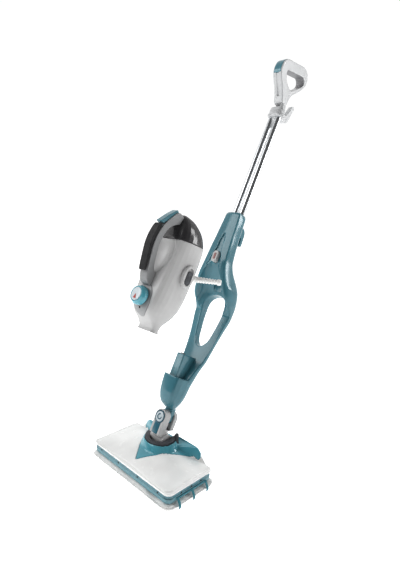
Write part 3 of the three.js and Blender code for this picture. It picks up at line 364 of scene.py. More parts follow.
def bumped(tree, shader, height, distance, strength=1.0):
    made = node(tree, "ShaderNodeBump", {
        "Height": height, "Distance": distance, "Strength": strength,
    })
    tree.links.new(made.outputs["Normal"], shader.inputs["Normal"])


# A moulded plastic: slight flow marks, fine grain, handling smudges and paler edges.
def plastic(name, colour, rough, coat=0.0, grain=0.00003, grain_scale=1400, wear=0.25, vary=0.05):
    material, tree, shader, place = blank(name)
    flow = noise(tree, place, 18, 3)
    tint = blended(
        tree, spread(tree, flow, 0.3, 0.7, 0, 1), tone(colour, 1 - vary), tone(colour, 1 + vary),
    )
    edge = node(tree, "ShaderNodeNewGeometry").outputs["Pointiness"]
    scuffs = noise(tree, place, 240, 4, 0.7)
    broken = node(tree, "ShaderNodeMath", {
        0: spread(tree, edge, 0.53, 0.62, 0, wear), 1: spread(tree, scuffs, 0.35, 0.65, 0.3, 1),
    }, operation="MULTIPLY").outputs[0]
    pale = tuple(mix(c, 1, 0.5) for c in tone(colour, 1.1)[:3])
    tree.links.new(blended(tree, broken, tint, (*pale, 1)), shader.inputs["Base Color"])
    smudge = noise(tree, place, 55, 5, 0.6)
    tree.links.new(
        spread(tree, smudge, 0.3, 0.7, max(0.03, rough * 0.82), rough * 1.22),
        shader.inputs["Roughness"],
    )
    shader.inputs["Coat Weight"].default_value = coat
    shader.inputs["Coat Roughness"].default_value = 0.07
    bumped(tree, shader, noise(tree, place, grain_scale, 2), grain)
    return material


def metal(name, colour, rough, stretch=(1, 1, 1), grain=0.00001):
    material, tree, shader, place = blank(name)
    shader.inputs["Metallic"].default_value = 1
    drawn = node(tree, "ShaderNodeMapping", {"Vector": place, "Scale": stretch})
    lines = noise(tree, drawn.outputs["Vector"], 600, 3)
    film = noise(tree, place, 40, 4)
    tint = blended(
        tree, spread(tree, film, 0.3, 0.7, 0, 1), tone(colour, 0.9), tone(colour, 1.05),
    )
    tree.links.new(tint, shader.inputs["Base Color"])
    tree.links.new(
        spread(tree, lines, 0.3, 0.7, rough * 0.7, rough * 1.4), shader.inputs["Roughness"],
    )
    bumped(tree, shader, lines, grain)
    return material


# Looped or woven cloth, from cells of a size in metres, with painted shade between the loops.
def cloth(name, colour, cell, depth, shadow=0.6):
    material, tree, shader, place = blank(name)
    cells = node(tree, "ShaderNodeTexVoronoi", {"Vector": place, "Scale": 1 / cell})
    lint = noise(tree, place, 2600, 3)
    broad = noise(tree, place, 30, 3)
    # The cells' rims are darkened by the shadow share: painted shade between the loops.
    tint = blended(
        tree, spread(tree, cells.outputs["Distance"], 0.1, 0.8, 0, 1),
        tone(colour, 1.0), tone(colour, shadow),
    )
    soiled = blended(tree, spread(tree, broad, 0.4, 0.75, 0, 0.16), tint, tone(colour, 0.85))
    tree.links.new(soiled, shader.inputs["Base Color"])
    tree.links.new(
        spread(tree, lint, 0.3, 0.7, 0.86, 1), shader.inputs["Roughness"],
    )
    shader.inputs["Sheen Weight"].default_value = 0.35
    shader.inputs["Sheen Roughness"].default_value = 0.5
    height = node(tree, "ShaderNodeMath", {
        0: cells.outputs["Distance"], 1: spread(tree, lint, 0, 1, 0, 0.35),
    }, operation="SUBTRACT").outputs[0]
    bumped(tree, shader, height, -depth)
    return material


TEAL = (0.28, 0.49, 0.54)
TEAL_BODY = plastic("teal gloss", TEAL, 0.2, coat=0.35, grain=0.000012)
TEAL_DEEP = plastic("teal deep gloss", (0.17, 0.42, 0.49), 0.22, coat=0.35, grain=0.000012)
TEAL_CLEAR = plastic("teal cover", (0.36, 0.66, 0.72), 0.16, coat=0.6, grain=0.000008)
WHITE = plastic("white gloss", (0.975, 0.975, 0.97), 0.24, coat=0.3, grain=0.000012, wear=0)
LIGHT = plastic("light grey satin", (0.77, 0.77, 0.77), 0.34, grain=0.00002, wear=0.1)
SILVER = plastic("silver grey satin", (0.58, 0.585, 0.59), 0.4, grain=0.00003)
GREY = plastic("mid grey satin", (0.55, 0.55, 0.56), 0.42, grain=0.00004)
DARK = plastic("dark grey matt", (0.30, 0.31, 0.33), 0.5, grain=0.00006, grain_scale=900)
BLACK = plastic("black soft touch", (0.105, 0.105, 0.115), 0.62, grain=0.00009, grain_scale=700)
RUBBER = plastic("black rubber", (0.12, 0.12, 0.13), 0.7, grain=0.00008, grain_scale=500)
SMOKE = plastic("smoked tank", (0.22, 0.215, 0.225), 0.2, coat=0.3, grain=0.000004, wear=0.05)
RED = plastic("red marking", (0.70, 0.30, 0.25), 0.4)
BOARD = plastic("board green", (0.16, 0.40, 0.26), 0.5)
CHROME = metal("polished tube", (0.86, 0.87, 0.88), 0.2)
STEEL = metal("plain steel", (0.66, 0.67, 0.69), 0.3, (6, 1, 1), 0.00003)
BRASS = metal("plain brass", (0.72, 0.60, 0.33), 0.3, (6, 1, 1), 0.00003)
TERRY = cloth("terry microfibre", (0.985, 0.985, 0.98), 0.0021, 0.0007, 0.92)
ELASTIC = cloth("woven elastic", (0.30, 0.60, 0.66), 0.0009, 0.0003, 0.75)
# Pale blue grey for the skin over the tray's sloped band: a painted reflection, not the band's own
# colour.
SKIRT_PAINTED_REFLECTION = plastic("pale blue grey painted reflection", (0.42, 0.60, 0.64), 0.3, coat=0.2)
TEAL_NIGHT = plastic("blue teal", (0.13, 0.36, 0.44), 0.25, coat=0.3)
PALE = plastic("pale badge", (0.80, 0.84, 0.86), 0.25, coat=0.4, wear=0)
ROSE = plastic("dusty red", (0.62, 0.45, 0.44), 0.4)
PALE_GREY = plastic("pale grey gloss", (0.77, 0.775, 0.78), 0.3, coat=0.15, wear=0.1)
PANEL = plastic("panel grey", (0.62, 0.625, 0.63), 0.36, grain=0.00003)

SLOT_LOOKS = {
    "teal_plastic": TEAL_BODY, "deep_teal_plastic": TEAL_DEEP, "white_plastic": WHITE,
    "light_grey_plastic": LIGHT, "silver_grey_plastic": SILVER, "grey_plastic": GREY,
    "dark_plastic": DARK, "black_soft_grip": BLACK, "black_rubber": RUBBER, "smoke_tank": SMOKE,
    "microfibre": TERRY, "teal_elastic": ELASTIC, "red_plastic": RED, "board": BOARD,
    "chrome_tube": CHROME, "steel": STEEL, "brass": BRASS,
}


# Every CAD node gets the finish of its slot, and its cut edges a small round.
def finish_frame_nodes():
    for name, obj in frame["nodes"].items():
        look = SLOTS[name]
        obj.data.materials.clear()
        obj.data.materials.append(SLOT_LOOKS[look])
        modifier = obj.modifiers.new("edges", "BEVEL")
        modifier.width = 0.0003 if look in ("steel", "brass", "board") else 0.0004
        modifier.segments = 2
        modifier.limit_method = "ANGLE"
        modifier.angle_limit = math.radians(38)


# ---- head ----
HEAD = {"half_x": 150, "half_y": 74, "corner": 16, "rim": 43, "floor": 36.4}
SADDLE = {"half_x": 42, "half_y": 37, "bottom": 66, "top": 81.6}


def rounded_ring(half_x, half_y, corner, z, spacing=3.0, per_corner=10):
    points = []
    for sx, sy, start in ((1, -1, -90), (1, 1, 0), (-1, 1, 90), (-1, -1, 180)):
        for i in range(per_corner + 1):
            turn = math.radians(start + 90 * i / per_corner)
            points.append(Vector((
                sx * (half_x - corner) + corner * math.cos(turn),
                sy * (half_y - corner) + corner * math.sin(turn), z,
            )))
    made = []
    for i, point in enumerate(points):
        after = points[(i + 1) % len(points)]
        steps = max(1, round((after - point).length / spacing))
        made += [point.lerp(after, k / steps) for k in range(steps)]
    return made


def edge_height(x, y):
    return mix(HEAD["rim"], 75, smooth(132 - abs(x), 0, 42) * smooth(y, -30, 70))


def top_height(x, y, edge):
    from_dome = math.hypot(x / 52, (y - HINGE_Y) / 47)
    slope = mix(62, edge, smooth(math.hypot(x / 150, (y - 20) / 100), 0.15, 1))
    return max(slope, mix(slope, 77, 1 - smooth(from_dome, 0.83, 1.04)))


# The head's outside: a flat lip round the edge, a step, and the raised top up to the dome.
def head_form():
    perimeter = rounded_ring(HEAD["half_x"], HEAD["half_y"], HEAD["corner"], 0)
    centre = Vector((0, HINGE_Y, 0))
    near = [0.6, 2, 4.5, 7, 8.2, 9, 9.8, 10.6, 12, 15]
    far = [i / 22 for i in range(1, 23)]
    rings = [[Vector((p.x, p.y, HEAD["floor"])) for p in perimeter]]
    rings.append([Vector((p.x, p.y, edge_height(p.x, p.y) - 2)) for p in perimeter])
    for step in near + far:
        ring = []
        for p in perimeter:
            length = (p - centre).length
            inward = step if step >= 0.6 and step in near else mix(15, 0.84 * length, step)
            moved = p.lerp(centre, inward / length)
            lip = 2.6 * (1 - smooth(inward, 8, 11)) * smooth(inward, 0, 3)
            lip *= 1 - smooth(p.y, 40, 70) * smooth(132 - abs(p.x), 0, 42)
            ring.append(Vector((
                moved.x, moved.y, top_height(moved.x, moved.y, edge_height(p.x, p.y)) - lip,
            )))
        rings.append(ring)
    return loft("head", rings)


def column(name, outline, low, high):
    return prism(name, [Vector((x, y, low)) for x, y in outline], (0, 0, high - low))


def saddle_column(grow, low, high):
    outline = oval(SADDLE["half_x"] + grow, SADDLE["half_y"] + grow)
    return column("saddle", [(x, y + HINGE_Y) for x, y in outline], low, high)


def row_box(name, low, high):
    (x0, y0, z0), (x1, y1, z1) = low, high
    return column(name, [(x0, y0), (x1, y0), (x1, y1), (x0, y1)], z0, z1)


def trough():
    return row_box("trough", (-23, HINGE_Y, 64), (23, 148, 110))


def horn(side, grow):
    low = Vector((side * HORN_X, HINGE_Y + 23, 66))
    high = Vector((side * HORN_X, HINGE_Y + 25, 93))
    return turned("horn", low, high - low, [(0, 6.4 + grow), (24, 5 + grow), (27, 3 + grow)], 24)


def cover_outline(grow):
    tail = [(-49 - grow * 1.6, 0), (-5, 36 + grow), (60, 83 + grow), (65, 92 + grow)]
    tail += [(67, 106 + grow), (90, 110 + grow)]
    right = [(x, y) for y, x in tail]
    return right + [(-x, y) for x, y in reversed(right[1:])]


def head_pieces():
    form = cut(
        head_form(), saddle_column(1, 20, 130), trough(), horn(1, 0.7), horn(-1, 0.7),
    )
    cover = meet(copy(form, "cover"), column("v", rounded(cover_outline(-0.3), 5), 0, 200))
    shell = cut(form, column("v", rounded(cover_outline(0.3), 5), 0, 200))
    finished(moulded(cover, 1.0, 5), "head_cover_form", TEAL_CLEAR, "head", "head_cover", 60)
    finished(moulded(shell, 1.2, 5), "head_shell_form", WHITE, "head", "head_shell", 60)


def saddle_piece():
    hinge = Vector((0, HINGE_Y, HINGE_Z))
    across = Vector((1, 0, 0))
    body = join(saddle_column(0, SADDLE["bottom"], SADDLE["top"]), horn(1, 0), horn(-1, 0))
    inner = column("in", [(x, y + HINGE_Y) for x, y in oval(28, 27)], 50, 120)
    body = cut(
        body, inner, rod("b", hinge - across * 25, hinge + across * 25, 16.7, 64),
        rod("a", hinge - across * 60, hinge + across * 60, PIN_HOLE, 32), trough(),
    )
    finished(moulded(body, 0.6, 5), "saddle_form", DARK, "head", "neck_saddle", 60)


# The coloured tray between the shell and the pad, with a sloped lower half and small studs; a pale
# blue-grey skin over the sloped lower half is a painted reflection.
def tray_pieces():
    rings = [rounded_ring(*row) for row in (
        (145, 69, 15, 15.6), (146.4, 70.4, 15.4, 17), (147.3, 71.3, 15.7, 26),
        (148, 72, 16, 29), (148, 72, 16, 35.2), (147.4, 71.4, 15.7, 36),
    )]
    tray = cut(loft("tray", rings), row_box("in", (-140, -64, 19), (140, 64, 40)))
    for x in (HORN_X, -HORN_X):
        tray = join(tray, row_box("post", (x - 4, HINGE_Y - 10, 16), (x + 4, HINGE_Y + 10, 65.6)))
    finished(tray, "tray_form", TEAL_BODY, "head", "base_tray", 30)
    # A pale skin just outside the tray's sloped lower half: painted reflection on the slope.
    skirt = cut(
        loft("skirt", [rounded_ring(*row) for row in (
            (146.5, 70.5, 15.4, 15.8), (147.6, 71.6, 15.8, 17.6), (148.3, 72.3, 16, 26.5),
            (147.9, 71.9, 16, 27.6),
        )]),
        loft("in", [rounded_ring(143.5, 67.5, 14, 10), rounded_ring(143.5, 67.5, 14, 40)]),
    )
    finished(skirt, "tray_skirt_painted_reflection", SKIRT_PAINTED_REFLECTION, "head", angle=50)
    studs = [((x, -72, 30.5), (0, -1, 0)) for x in (-112, -38, 38, 112)]
    studs += [((sx * 148, y, 30.5), (sx, 0, 0)) for sx in (-1, 1) for y in (-32, 0, 32)]
    for i, (place, way) in enumerate(studs, start=1):
        stud = turned("stud", Vector(place) - Vector(way), way,
                      [(0, 2.2), (1.3, 2.2), (1.7, 1.8), (1.9, 1.0), (1.5, 0.6)], 24)
        finished(stud, f"tray_stud_{i}", RUBBER, "head")


# ---- pad ----
# A stuffed cloth block: its skin is blown up a little, then textured like looped terry.
def cloth_pad():
    half_x, half_y, top = PAD["half_x"], PAD["half_y"], PAD["top"]
    rings = [
        rounded_ring(half_x - 5, half_y - 5, 20, 0.3, 6), rounded_ring(half_x, half_y, 22, 4, 6),
        rounded_ring(half_x, half_y, 22, 10.5, 6),
        rounded_ring(half_x - 5.5, half_y - 5.5, 20, 14.6, 6),
    ]
    pad = loft("pad", rings)
    pad.data.transform(ROW)
    modify(pad, "REMESH", mode="VOXEL", voxel_size=0.005)
    inflate(pad)
    modify(pad, "SUBSURF", levels=2, render_levels=2)
    settle(pad, ROW @ Vector((-half_x, -half_y, 0)), ROW @ Vector((half_x, half_y, top)))
    ribs(pad)
    pad.name = "pad_cloth"
    pad.data.materials.clear()
    pad.data.materials.append(TERRY)
    pad.data.shade_smooth()
    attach(pad, "head")
    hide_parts("mop_pad")


def inflate(obj):
    still = obj.data.copy()
    modifier = obj.modifiers.new("cloth", "CLOTH")
    values = modifier.settings
    values.use_pressure = True
    values.uniform_pressure_force = 4
    values.effector_weights.gravity = 0
    values.tension_stiffness = values.compression_stiffness = 40
    values.bending_stiffness = 4
    scene = bpy.context.scene
    for at_frame in range(1, 21):
        scene.frame_set(at_frame)
        bpy.context.view_layer.update()
    made = bpy.data.meshes.new_from_object(
        obj.evaluated_get(bpy.context.evaluated_depsgraph_get())
    )
    obj.modifiers.clear()
    scene.frame_set(1)
    capped = []
    for vertex, rest in zip(made.vertices, still.vertices):
        moved = vertex.co - rest.co
        capped.extend(rest.co + moved.normalized() * min(moved.length, PAD["swell"] / 1000))
    made.vertices.foreach_set("co", capped)
    made.update()
    obj.data = made


# Fits a soft body back between two corners.
def settle(obj, low, high):
    found = [v.co.copy() for v in obj.data.vertices]
    least = [min(p[k] for p in found) for k in range(3)]
    most = [max(p[k] for p in found) for k in range(3)]
    scale = [(high[k] - low[k]) / (most[k] - least[k]) for k in range(3)]
    fitted = [low[k] + (p[k] - least[k]) * scale[k] for p in found for k in range(3)]
    obj.data.vertices.foreach_set("co", fitted)
    obj.data.update()


# Cross ribs on the pad's rolled edge, and a shallow seam above the roll.
def ribs(obj):
    moved = []
    half_x, half_y = PAD["half_x"] / 1000, PAD["half_y"] / 1000
    for place, normal in [(v.co.copy(), v.normal.copy()) for v in obj.data.vertices]:
        x, y, z = place
        ends, sides = abs(x) / half_x, abs(y) / half_y
        if max(ends, sides) > 0.93:
            along = y if ends > sides else x
            rib = 0.0006 * math.sin(along / 0.0042 * math.tau)
            seam = -0.0010 * math.exp(-((z - 0.0105) / 0.0011) ** 2)
            place += normal * (min(0, rib - 0.0006) + seam)
        moved.extend(place)
    obj.data.vertices.foreach_set("co", moved)
    obj.data.update()


# Three elastic loops over each end of the pad, on a band.
def elastic_pieces():
    reach = 157.6
    outline = [
        (reach - 7, 22.5), (reach - 1.5, 15), (reach + 0.7, 8.5), (reach - 0.5, 2),
        (reach + 1, 1.2), (reach + 3.0, 8.5), (reach, 16.4), (reach - 6, 24.4),
    ]
    for end in ("right", "left"):
        body = row_box("band", (148.3, -48, 21.8), (151.4, 48, 25))
        for y in (-45, 0, 45):
            strip = prism(
                "loop", [Vector((x, y - 3, z)) for x, z in rounded(outline, 1.2, 4)], (0, 6, 0),
            )
            body = join(body, strip)
        body = moulded(body, 0.45, 4)
        if end == "left":
            body.data.transform(Matrix.Rotation(math.pi, 4, "Z"))
        finished(body, f"elastic_{end}", ELASTIC, "head", f"pad_loops_{end}", 60)


# ---- neck ----
def arm_outline(half, foot):
    return [(-half + 1, foot), (half - 1, foot)] + turn((0, 4), half, 0, math.pi, 32)


# A rounded ring at a height p, with its middle at n.
def level_ring(n, p, half_x, half_n, corner, spacing=3, per_corner=5):
    ring = rounded_ring(half_x, half_n, corner, p, spacing, per_corner)
    return [q - Vector((0, n, 0)) for q in ring]


def neck_ring(p, rear, front, half):
    return level_ring((front + rear) / 2, p, half, (front - rear) / 2, 4)


def neck_pieces():
    fork = join(
        plate("f", arm_outline(18, -42), 1, 22), plate("r", arm_outline(18, -24), -26, -14),
        loft("base", [neck_ring(*row) for row in (
            (-50, -20, 5, 17), (-42, -20, 19, 17), (-38, -22, 22, 17), (-24, -26, 22, 17),
        )]),
        rod("barrel", at(-24, -8, -50), at(24, -8, -50), 16, 64),
    )
    fork = cut(
        fork, rod("x", at(-30, -8, -50), at(30, -8, -50), PIN_HOLE, 32),
        rod("h", at(0, -7, -80), at(0, -7, -20), 7.2, 32),
        box("inlay", (-9.8, 20.5, -41), (9.8, 40, 2)),
        peg(2, 19, 40, 16.3, 64),
        peg(0, -40, 40, PIN_HOLE),
    )
    finished(moulded(fork, 0.6, 6), "fork_form", LIGHT, "neck", "neck_fork", 60)
    inlay = cut(
        box("i", (-9.5, 20.8, -40.6), (9.5, 22.5, 2)),
        peg(2, 0, 40, 16.6, 64),
    )
    finished(bevelled(inlay, 0.4), "inlay_form", TEAL_DEEP, "neck", "fork_inlay")
    ring = turned("ring", at(0, 19.3, 2), (0, -1, 0), [
        (0, 16), (2.9, 16), (3.6, 15.6), (3.9, 15), (3.7, 13.9), (3.0, 13.2), (1.7, 13.2),
    ], 72)
    finished(ring, "badge_ring_form", TEAL_NIGHT, "neck", "badge_ring")
    disc = turned("disc", at(0, 21.3, 2), (0, -1, 0), [
        (0, 13), (1.5, 13), (2.0, 12.7), (2.3, 12.1), (2.3, 8.2), (1.9, 7.8), (1.9, 4.6),
        (2.3, 4.2),
    ], 72)
    finished(disc, "badge_disc_form", PALE, "neck", "badge_disc")
    mark = cut(
        turned("mark", at(0, 22.9, 2), (0, -1, 0), [(0, 7.6), (0.75, 7.6)], 64),
        peg(2, 20, 30, 4.9, 48),
        box("gap", (0.2, 20, 3), (9, 30, 12)),
    )
    finished(mark, "badge_mark", TEAL_NIGHT, "neck")


def hose_piece():
    profile = [(0, 3)]
    pitch = 4.8
    for i in range(10):
        base = i * pitch
        profile += [(base + pitch * t, 4.7 + 1.35 * math.sin(math.pi * t) ** 0.7)
                    for t in (0.05, 0.2, 0.35, 0.5, 0.65, 0.8, 0.95)]
    hose = turned("hose", at(0, -7, -64), (0, 0, 1), profile + [(48, 3)], 48)
    finished(hose, "hose_form", RUBBER, "neck", "neck_hose")


# ---- body ----
# Rows hold p, front, rear, half width of the front, half width, middle and power.
HOUSING = [
    (26.5, 7, -13, 8, 13, -3, 2.2), (31, 15, -14, 11, 16, -1, 2.3), (38, 25, -16, 15, 21, 3, 2.5),
    (50, 33, -20, 18, 26, 5, 2.8), (70, 39.5, -23, 20.5, 30, 5, 3),
    (102, 43.5, -24, 21.3, 32, 3, 3.3), (110, 44, -24, 21.4, 32.5, 2, 3.4),
]
FRAME = [
    (100, 10, -23, 27, 31.5, -2, 3.4), (141, -3, -29, 33, 36, -10, 3.6),
    (172, -15.8, -38, 37, 39.5, -19, 4), (225, -21.6, -43, 45, 47.5, -23, 4),
    (262, -22.4, -46, 52, 54.5, -25, 4), (300, -22.5, -49, 59.5, 62, -26, 4),
    (325, -6, -50, 59.5, 62.5, -26, 4), (345, 16, -50, 55.5, 61, -22, 4),
    (370, 29, -49, 49, 57, -16, 3.6), (388, 36, -44, 44.5, 50.5, -8, 3.2),
    (402, 39.5, -32, 41.5, 46, 0, 3), (420, 41.5, -14, 38, 41, 8, 2.8),
    (440, 43, -5, 34.5, 37, 13, 2.5), (470, 43, -3, 32, 34, 16, 2.5),
    (510, 42, -3, 28.5, 30, 18, 2.5), (573, 40.5, -3, 23.3, 25, 18, 2.5),
    (579, 38, -0.5, 20.5, 22, 18, 2.5),
]
CRADLE = [
    (290, 78, -22.6), (320, 59, -23.2), (345, 50.5, -22.4), (361, 46, -17.4), (378, 40, -6),
    (399, 31, 15), (420, 22.5, 31), (448, 12, 46),
]
BUTTON = {"n": 43.2, "p": 443, "half": 9, "length": 32}
PARTING = [
    (4, 20), (4, 104), (-8, 128), (-14, 150), (-27, 190), (-33, 250), (-37, 320), (-33, 368),
    (-14, 398), (6, 426), (14, 470), (14, 600),
]


# One cross-section: a crowned face between two edges, corners, and a rounded back.
def body_ring(row, inset=0.0, corner=9, rear_steps=14):
    p, front, rear, front_half, half, middle, power = row
    crown = min(2.5, front_half / 8)
    edge, wide, face = front_half - inset * 0.7, half - inset, front - inset
    side = [(edge * i / 9, face - crown * (i / 9) ** 2) for i in range(9)]
    for i in range(corner):
        turn = math.pi / 2 * i / corner
        side.append((
            edge + (wide - edge) * math.sin(turn),
            middle + (face - crown - middle) * math.cos(turn),
        ))
    for i in range(rear_steps):
        turn = math.pi / 2 * i / rear_steps
        side.append((
            wide * math.cos(turn) ** (2 / power),
            middle - (middle - rear - inset) * math.sin(turn) ** (2 / power),
        ))
    right = [at(x, n, p) for x, n in side]
    left = [at(-x, n, p) for x, n in reversed(side[1:])]
    return [*right, at(0, rear + inset, p), *left]


# Every row of a table, with more rows between them.
def dense(rows, step=4.0):
    keys = []
    for a, b in zip(rows, rows[1:]):
        count = max(1, round((b[0] - a[0]) / step))
        keys += [mix(a[0], b[0], k / count) for k in range(count)]
    return [between(rows, key) for key in [*keys, rows[-1][0]]]


def skin(name, rows, inset=0.0, corner=9, step=4.0):
    return loft(name, [body_ring(row, inset, corner) for row in dense(rows, step)])


def cradle():
    rings = []
    for p, half, floor in dense(CRADLE):
        side = [(half * math.cos(math.pi * i / 24) ** 0.6,
                 floor + 30 * (1 - math.sin(math.pi * i / 24) ** 0.6)) for i in range(13)]
        right = [at(x, n, p) for x, n in side]
        left = [at(-x, n, p) for x, n in reversed(side[:-1])]
        rings.append([at(0, 120, p), at(half, 120, p), *right, *left, at(-half, 120, p)])
    return loft("cradle", rings)


def opening(grow=0.0):
    half = [(0, 206), (13, 211), (24, 227), (30, 253), (35.5, 282), (38, 309), (36, 331), (24, 347)]
    points = [*half, (0, 353), *[(-x, p) for x, p in reversed(half[1:])]]
    moved = []
    for x, p in points:
        length = math.hypot(x, (p - 290) * 0.6) or 1
        moved.append((x + grow * x / length, p + grow * (p - 290) * 0.6 / length))
    return curved(moved, 8)


# The chamfer round the opening's front edge.
def window_lip():
    wide, narrow = opening(4.2), opening(-0.4)
    rings = [[at(x, -6, p) for x, p in wide], [at(x, -27.5, p) for x, p in narrow]]
    return loft("lip", rings)


CHANNEL = [
    (0, 516), (6.5, 498), (8.5, 470), (19, 434), (26, 418), (-26, 418), (-19, 434),
    (-8.5, 470), (-6.5, 498),
]


def front_side(offset):
    line = [(n + offset, p) for n, p in PARTING] + [(150, 600), (150, 20)]
    return slab("front", line, 120)


def tube_rod(side, low, high, radius):
    x = side * TUBE["x"]
    return rod("tube", at(x, TUBE["n"], low), at(x, TUBE["n"], high), radius, 48)


def body_pieces():
    body = join(skin("housing", HOUSING, corner=3, step=3), skin("frame", FRAME))
    tongue = turn((0, 0), 13, math.pi, math.tau, 24) + [(13, 30), (-13, 30)]
    body = join(body, plate("tongue", tongue, -13.5, 0.5))
    body = cut(
        body, cradle(), plate("seat", capsule(14.4, 36, 0, 365), -17.2, 60),
        plate("window", opening(), -90, 60), window_lip(), plate("channel", CHANNEL, 38.2, 73),
        plate("well", capsule(9.3, 32.6, 0, BUTTON["p"]), 26, 80),
        peg(0, -60, 60, PIN_HOLE),
        tube_rod(-1, 483, 700, TUBE_HOLE), tube_rod(1, 483, 700, TUBE_HOLE),
        peg(540, -20, 7, STEM_HOLE, 24),
    )
    body = moulded(body, 1.15, 5)
    front = meet(copy(body, "front"), front_side(0.2))
    rear = cut(body, front_side(-0.2))
    finished(front, "body_front_form", TEAL_BODY, "body", "body_front_shell", 50)
    finished(rear, "body_rear_form", TEAL_BODY, "body", "body_rear_shell", 50)


def spigot_piece():
    spigot = loft("spigot", [
        level_ring(8, p, 12.6 - inset, 26 - inset, 3 - inset / 2, 3, 6)
        for inset, p in ((0, 110.4), (0, 167), (0.5, 168.6), (1.5, 170))
    ])
    spigot = cut(spigot, rod("bore", at(0, 26, 108), at(0, 26, 180), 3.8, 32))
    finished(spigot, "spigot_form", TEAL_BODY, "body", "dock_spigot", 34)


def button_pieces():
    n, p, half, length = BUTTON.values()
    face = plate("b", capsule(half, length, 0, p, 24), n - 9, n + 4.5)
    face = cut(bevelled(face, 1.3, 4, 60), plate("m", capsule(3.9, 18.4, 0, p, 16), n + 3.2, n + 9))
    finished(face, "button_form", LIGHT, "release", "release_button")
    mark = plate("m", capsule(3.5, 17.6, 0, p, 16), n + 3.5, n + 5)
    finished(bevelled(mark, 0.4, 3, 60), "button_mark", ROSE, "release", "release_mark")


def tube_pieces():
    for side, end in ((-1, "left"), (1, "right")):
        radius = TUBE["radius"]
        tube = turned("tube", at(side * TUBE["x"], TUBE["n"], 492), (0, 0, 1),
                      [(0, radius), (437.6, radius), (438, radius - 0.4), (438, 7)], 72)
        tube = cut(tube, tube_rod(side, 480, 940, 7))
        finished(tube, f"tube_{end}", CHROME, "body", f"pole_tube_{end}")


# A rounded outline in n and p with straight or curved runs, from move and curve commands.
def outline_of(start, *runs):
    points, here = [Vector(start)], Vector(start)
    for run in runs:
        if len(run) == 2:
            here = Vector(run)
            points.append(here)
        else:
            control, end = Vector(run[:2]), Vector(run[2:])
            points += [arc(here, control, end, k / 12) for k in range(1, 13)]
            here = end
    if (points[-1] - points[0]).length < 1e-6:
        points.pop()
    return [tuple(p) for p in points]


def lower_hook_piece():
    foot = turn((-28, 510), 5.2, math.pi, math.tau)
    line = outline_of((-4, 548), (-14, 556), (-26, 556, -31, 540), (-33, 512))
    line += foot + outline_of((-22.8, 512), (-21.5, 526), (-18, 532, -4, 526))
    hook = bevelled(slab("hook", line, 7.8), 2.4, 4, 50)
    hook = join(hook, peg(540, -6, 3, STEM))
    finished(moulded(hook, 0.6, 5), "lower_hook_form", TEAL_BODY, "lower_hook",
             "lower_cord_hook", 60)


# ---- upper handle ----
LOOP = outline_of(
    (6, 938), (31.5, 938), (39, 958, 57, 978), (76, 994, 82, 1008), (88, 1046, 62, 1058),
    (2, 1088), (-24, 1102, -38, 1088), (-50, 1074, -46, 1054), (-34, 1024, -8, 994),
    (8, 972, 6, 938),
)
LOOP_HOLE = outline_of(
    (22, 992), (10, 990, 2, 1000), (-32, 1042), (-38, 1056, -26, 1064), (-20, 1067, -12, 1062),
    (52, 1030), (58, 1024, 52, 1012), (42, 996, 22, 992),
)
GRIP_REGION = [
    (50, 1014), (62, 1024), (57, 1037), (-10, 1071), (-34, 1075), (-44, 1062), (-34, 1036),
    (-20, 1040), (20, 1030),
]
CAP_REGION = [(64, 1003), (110, 1003), (110, 1090), (50, 1090), (50, 1058), (71, 1044)]


def handle_pieces():
    loop = bevelled(slab("loop", LOOP, 15), 4.6, 5, 50)
    hole = slab("hole", LOOP_HOLE, 20)
    loop = moulded(cut(loop, hole), 0.8, 14)
    groove = slab("groove", front_groove(), 3.4)
    frame_piece = cut(
        copy(loop, "frame"), slab("g", rounded(GRIP_REGION, 2), 12.2),
        slab("c", rounded(CAP_REGION, 2), 11.8), groove,
    )
    grip = meet(copy(loop, "grip"), slab("g", rounded(GRIP_REGION, 2), 11.9))
    cap = meet(loop, slab("c", rounded(CAP_REGION, 2), 11.5))
    finished(moulded(frame_piece, 0.8, 3), "loop_form", PALE_GREY, "body", "handle_frame", 60)
    finished(grip, "loop_insert", GREY, "body", "handle_grip", 50)
    finished(cap, "loop_cap", TEAL_BODY, "body", "handle_cap", 50)


# A shallow groove down the front face of the loop.
def front_groove():
    line = outline_of((37, 956), (44.6, 966, 57, 978), (75, 993, 82, 1008))
    return [(n + 6, p - 5) for n, p in line] + [(n - 1.4, p + 1) for n, p in reversed(line)]


def collar_piece():
    collar = loft("collar", [
        level_ring(TUBE["n"], p, 22.6 - inset, 14 - inset, 8, 2, 10)
        for p, inset in ((896, 2.2), (896.8, 1.1), (898.5, 0.3), (901, 0), (915, 0.5),
                         (926, 2), (937.7, 4))
    ])
    collar = cut(
        collar, tube_rod(-1, 880, 931.5, TUBE_HOLE),
        tube_rod(1, 880, 931.5, TUBE_HOLE),
        peg(916, -30, 12, STEM_HOLE, 24),
    )
    finished(collar, "collar_form", PALE_GREY, "body", "handle_collar", 40)


def upper_hook_piece():
    tip = turn((-35.5, 967), 6, math.pi, 0.15 * math.pi)
    line = outline_of((2, 906), (-14, 904), (-28, 906, -33, 922), (-41, 964))
    line += tip + outline_of((-28.6, 962), (-19, 930), (-16, 926, 2, 926))
    hook = bevelled(slab("hook", line, 7.3), 2.6, 4, 50)
    hook = join(hook, peg(916, 0, 10, STEM))
    finished(moulded(hook, 0.6, 5), "upper_hook_form", PALE_GREY, "upper_hook",
             "upper_cord_hook", 60)


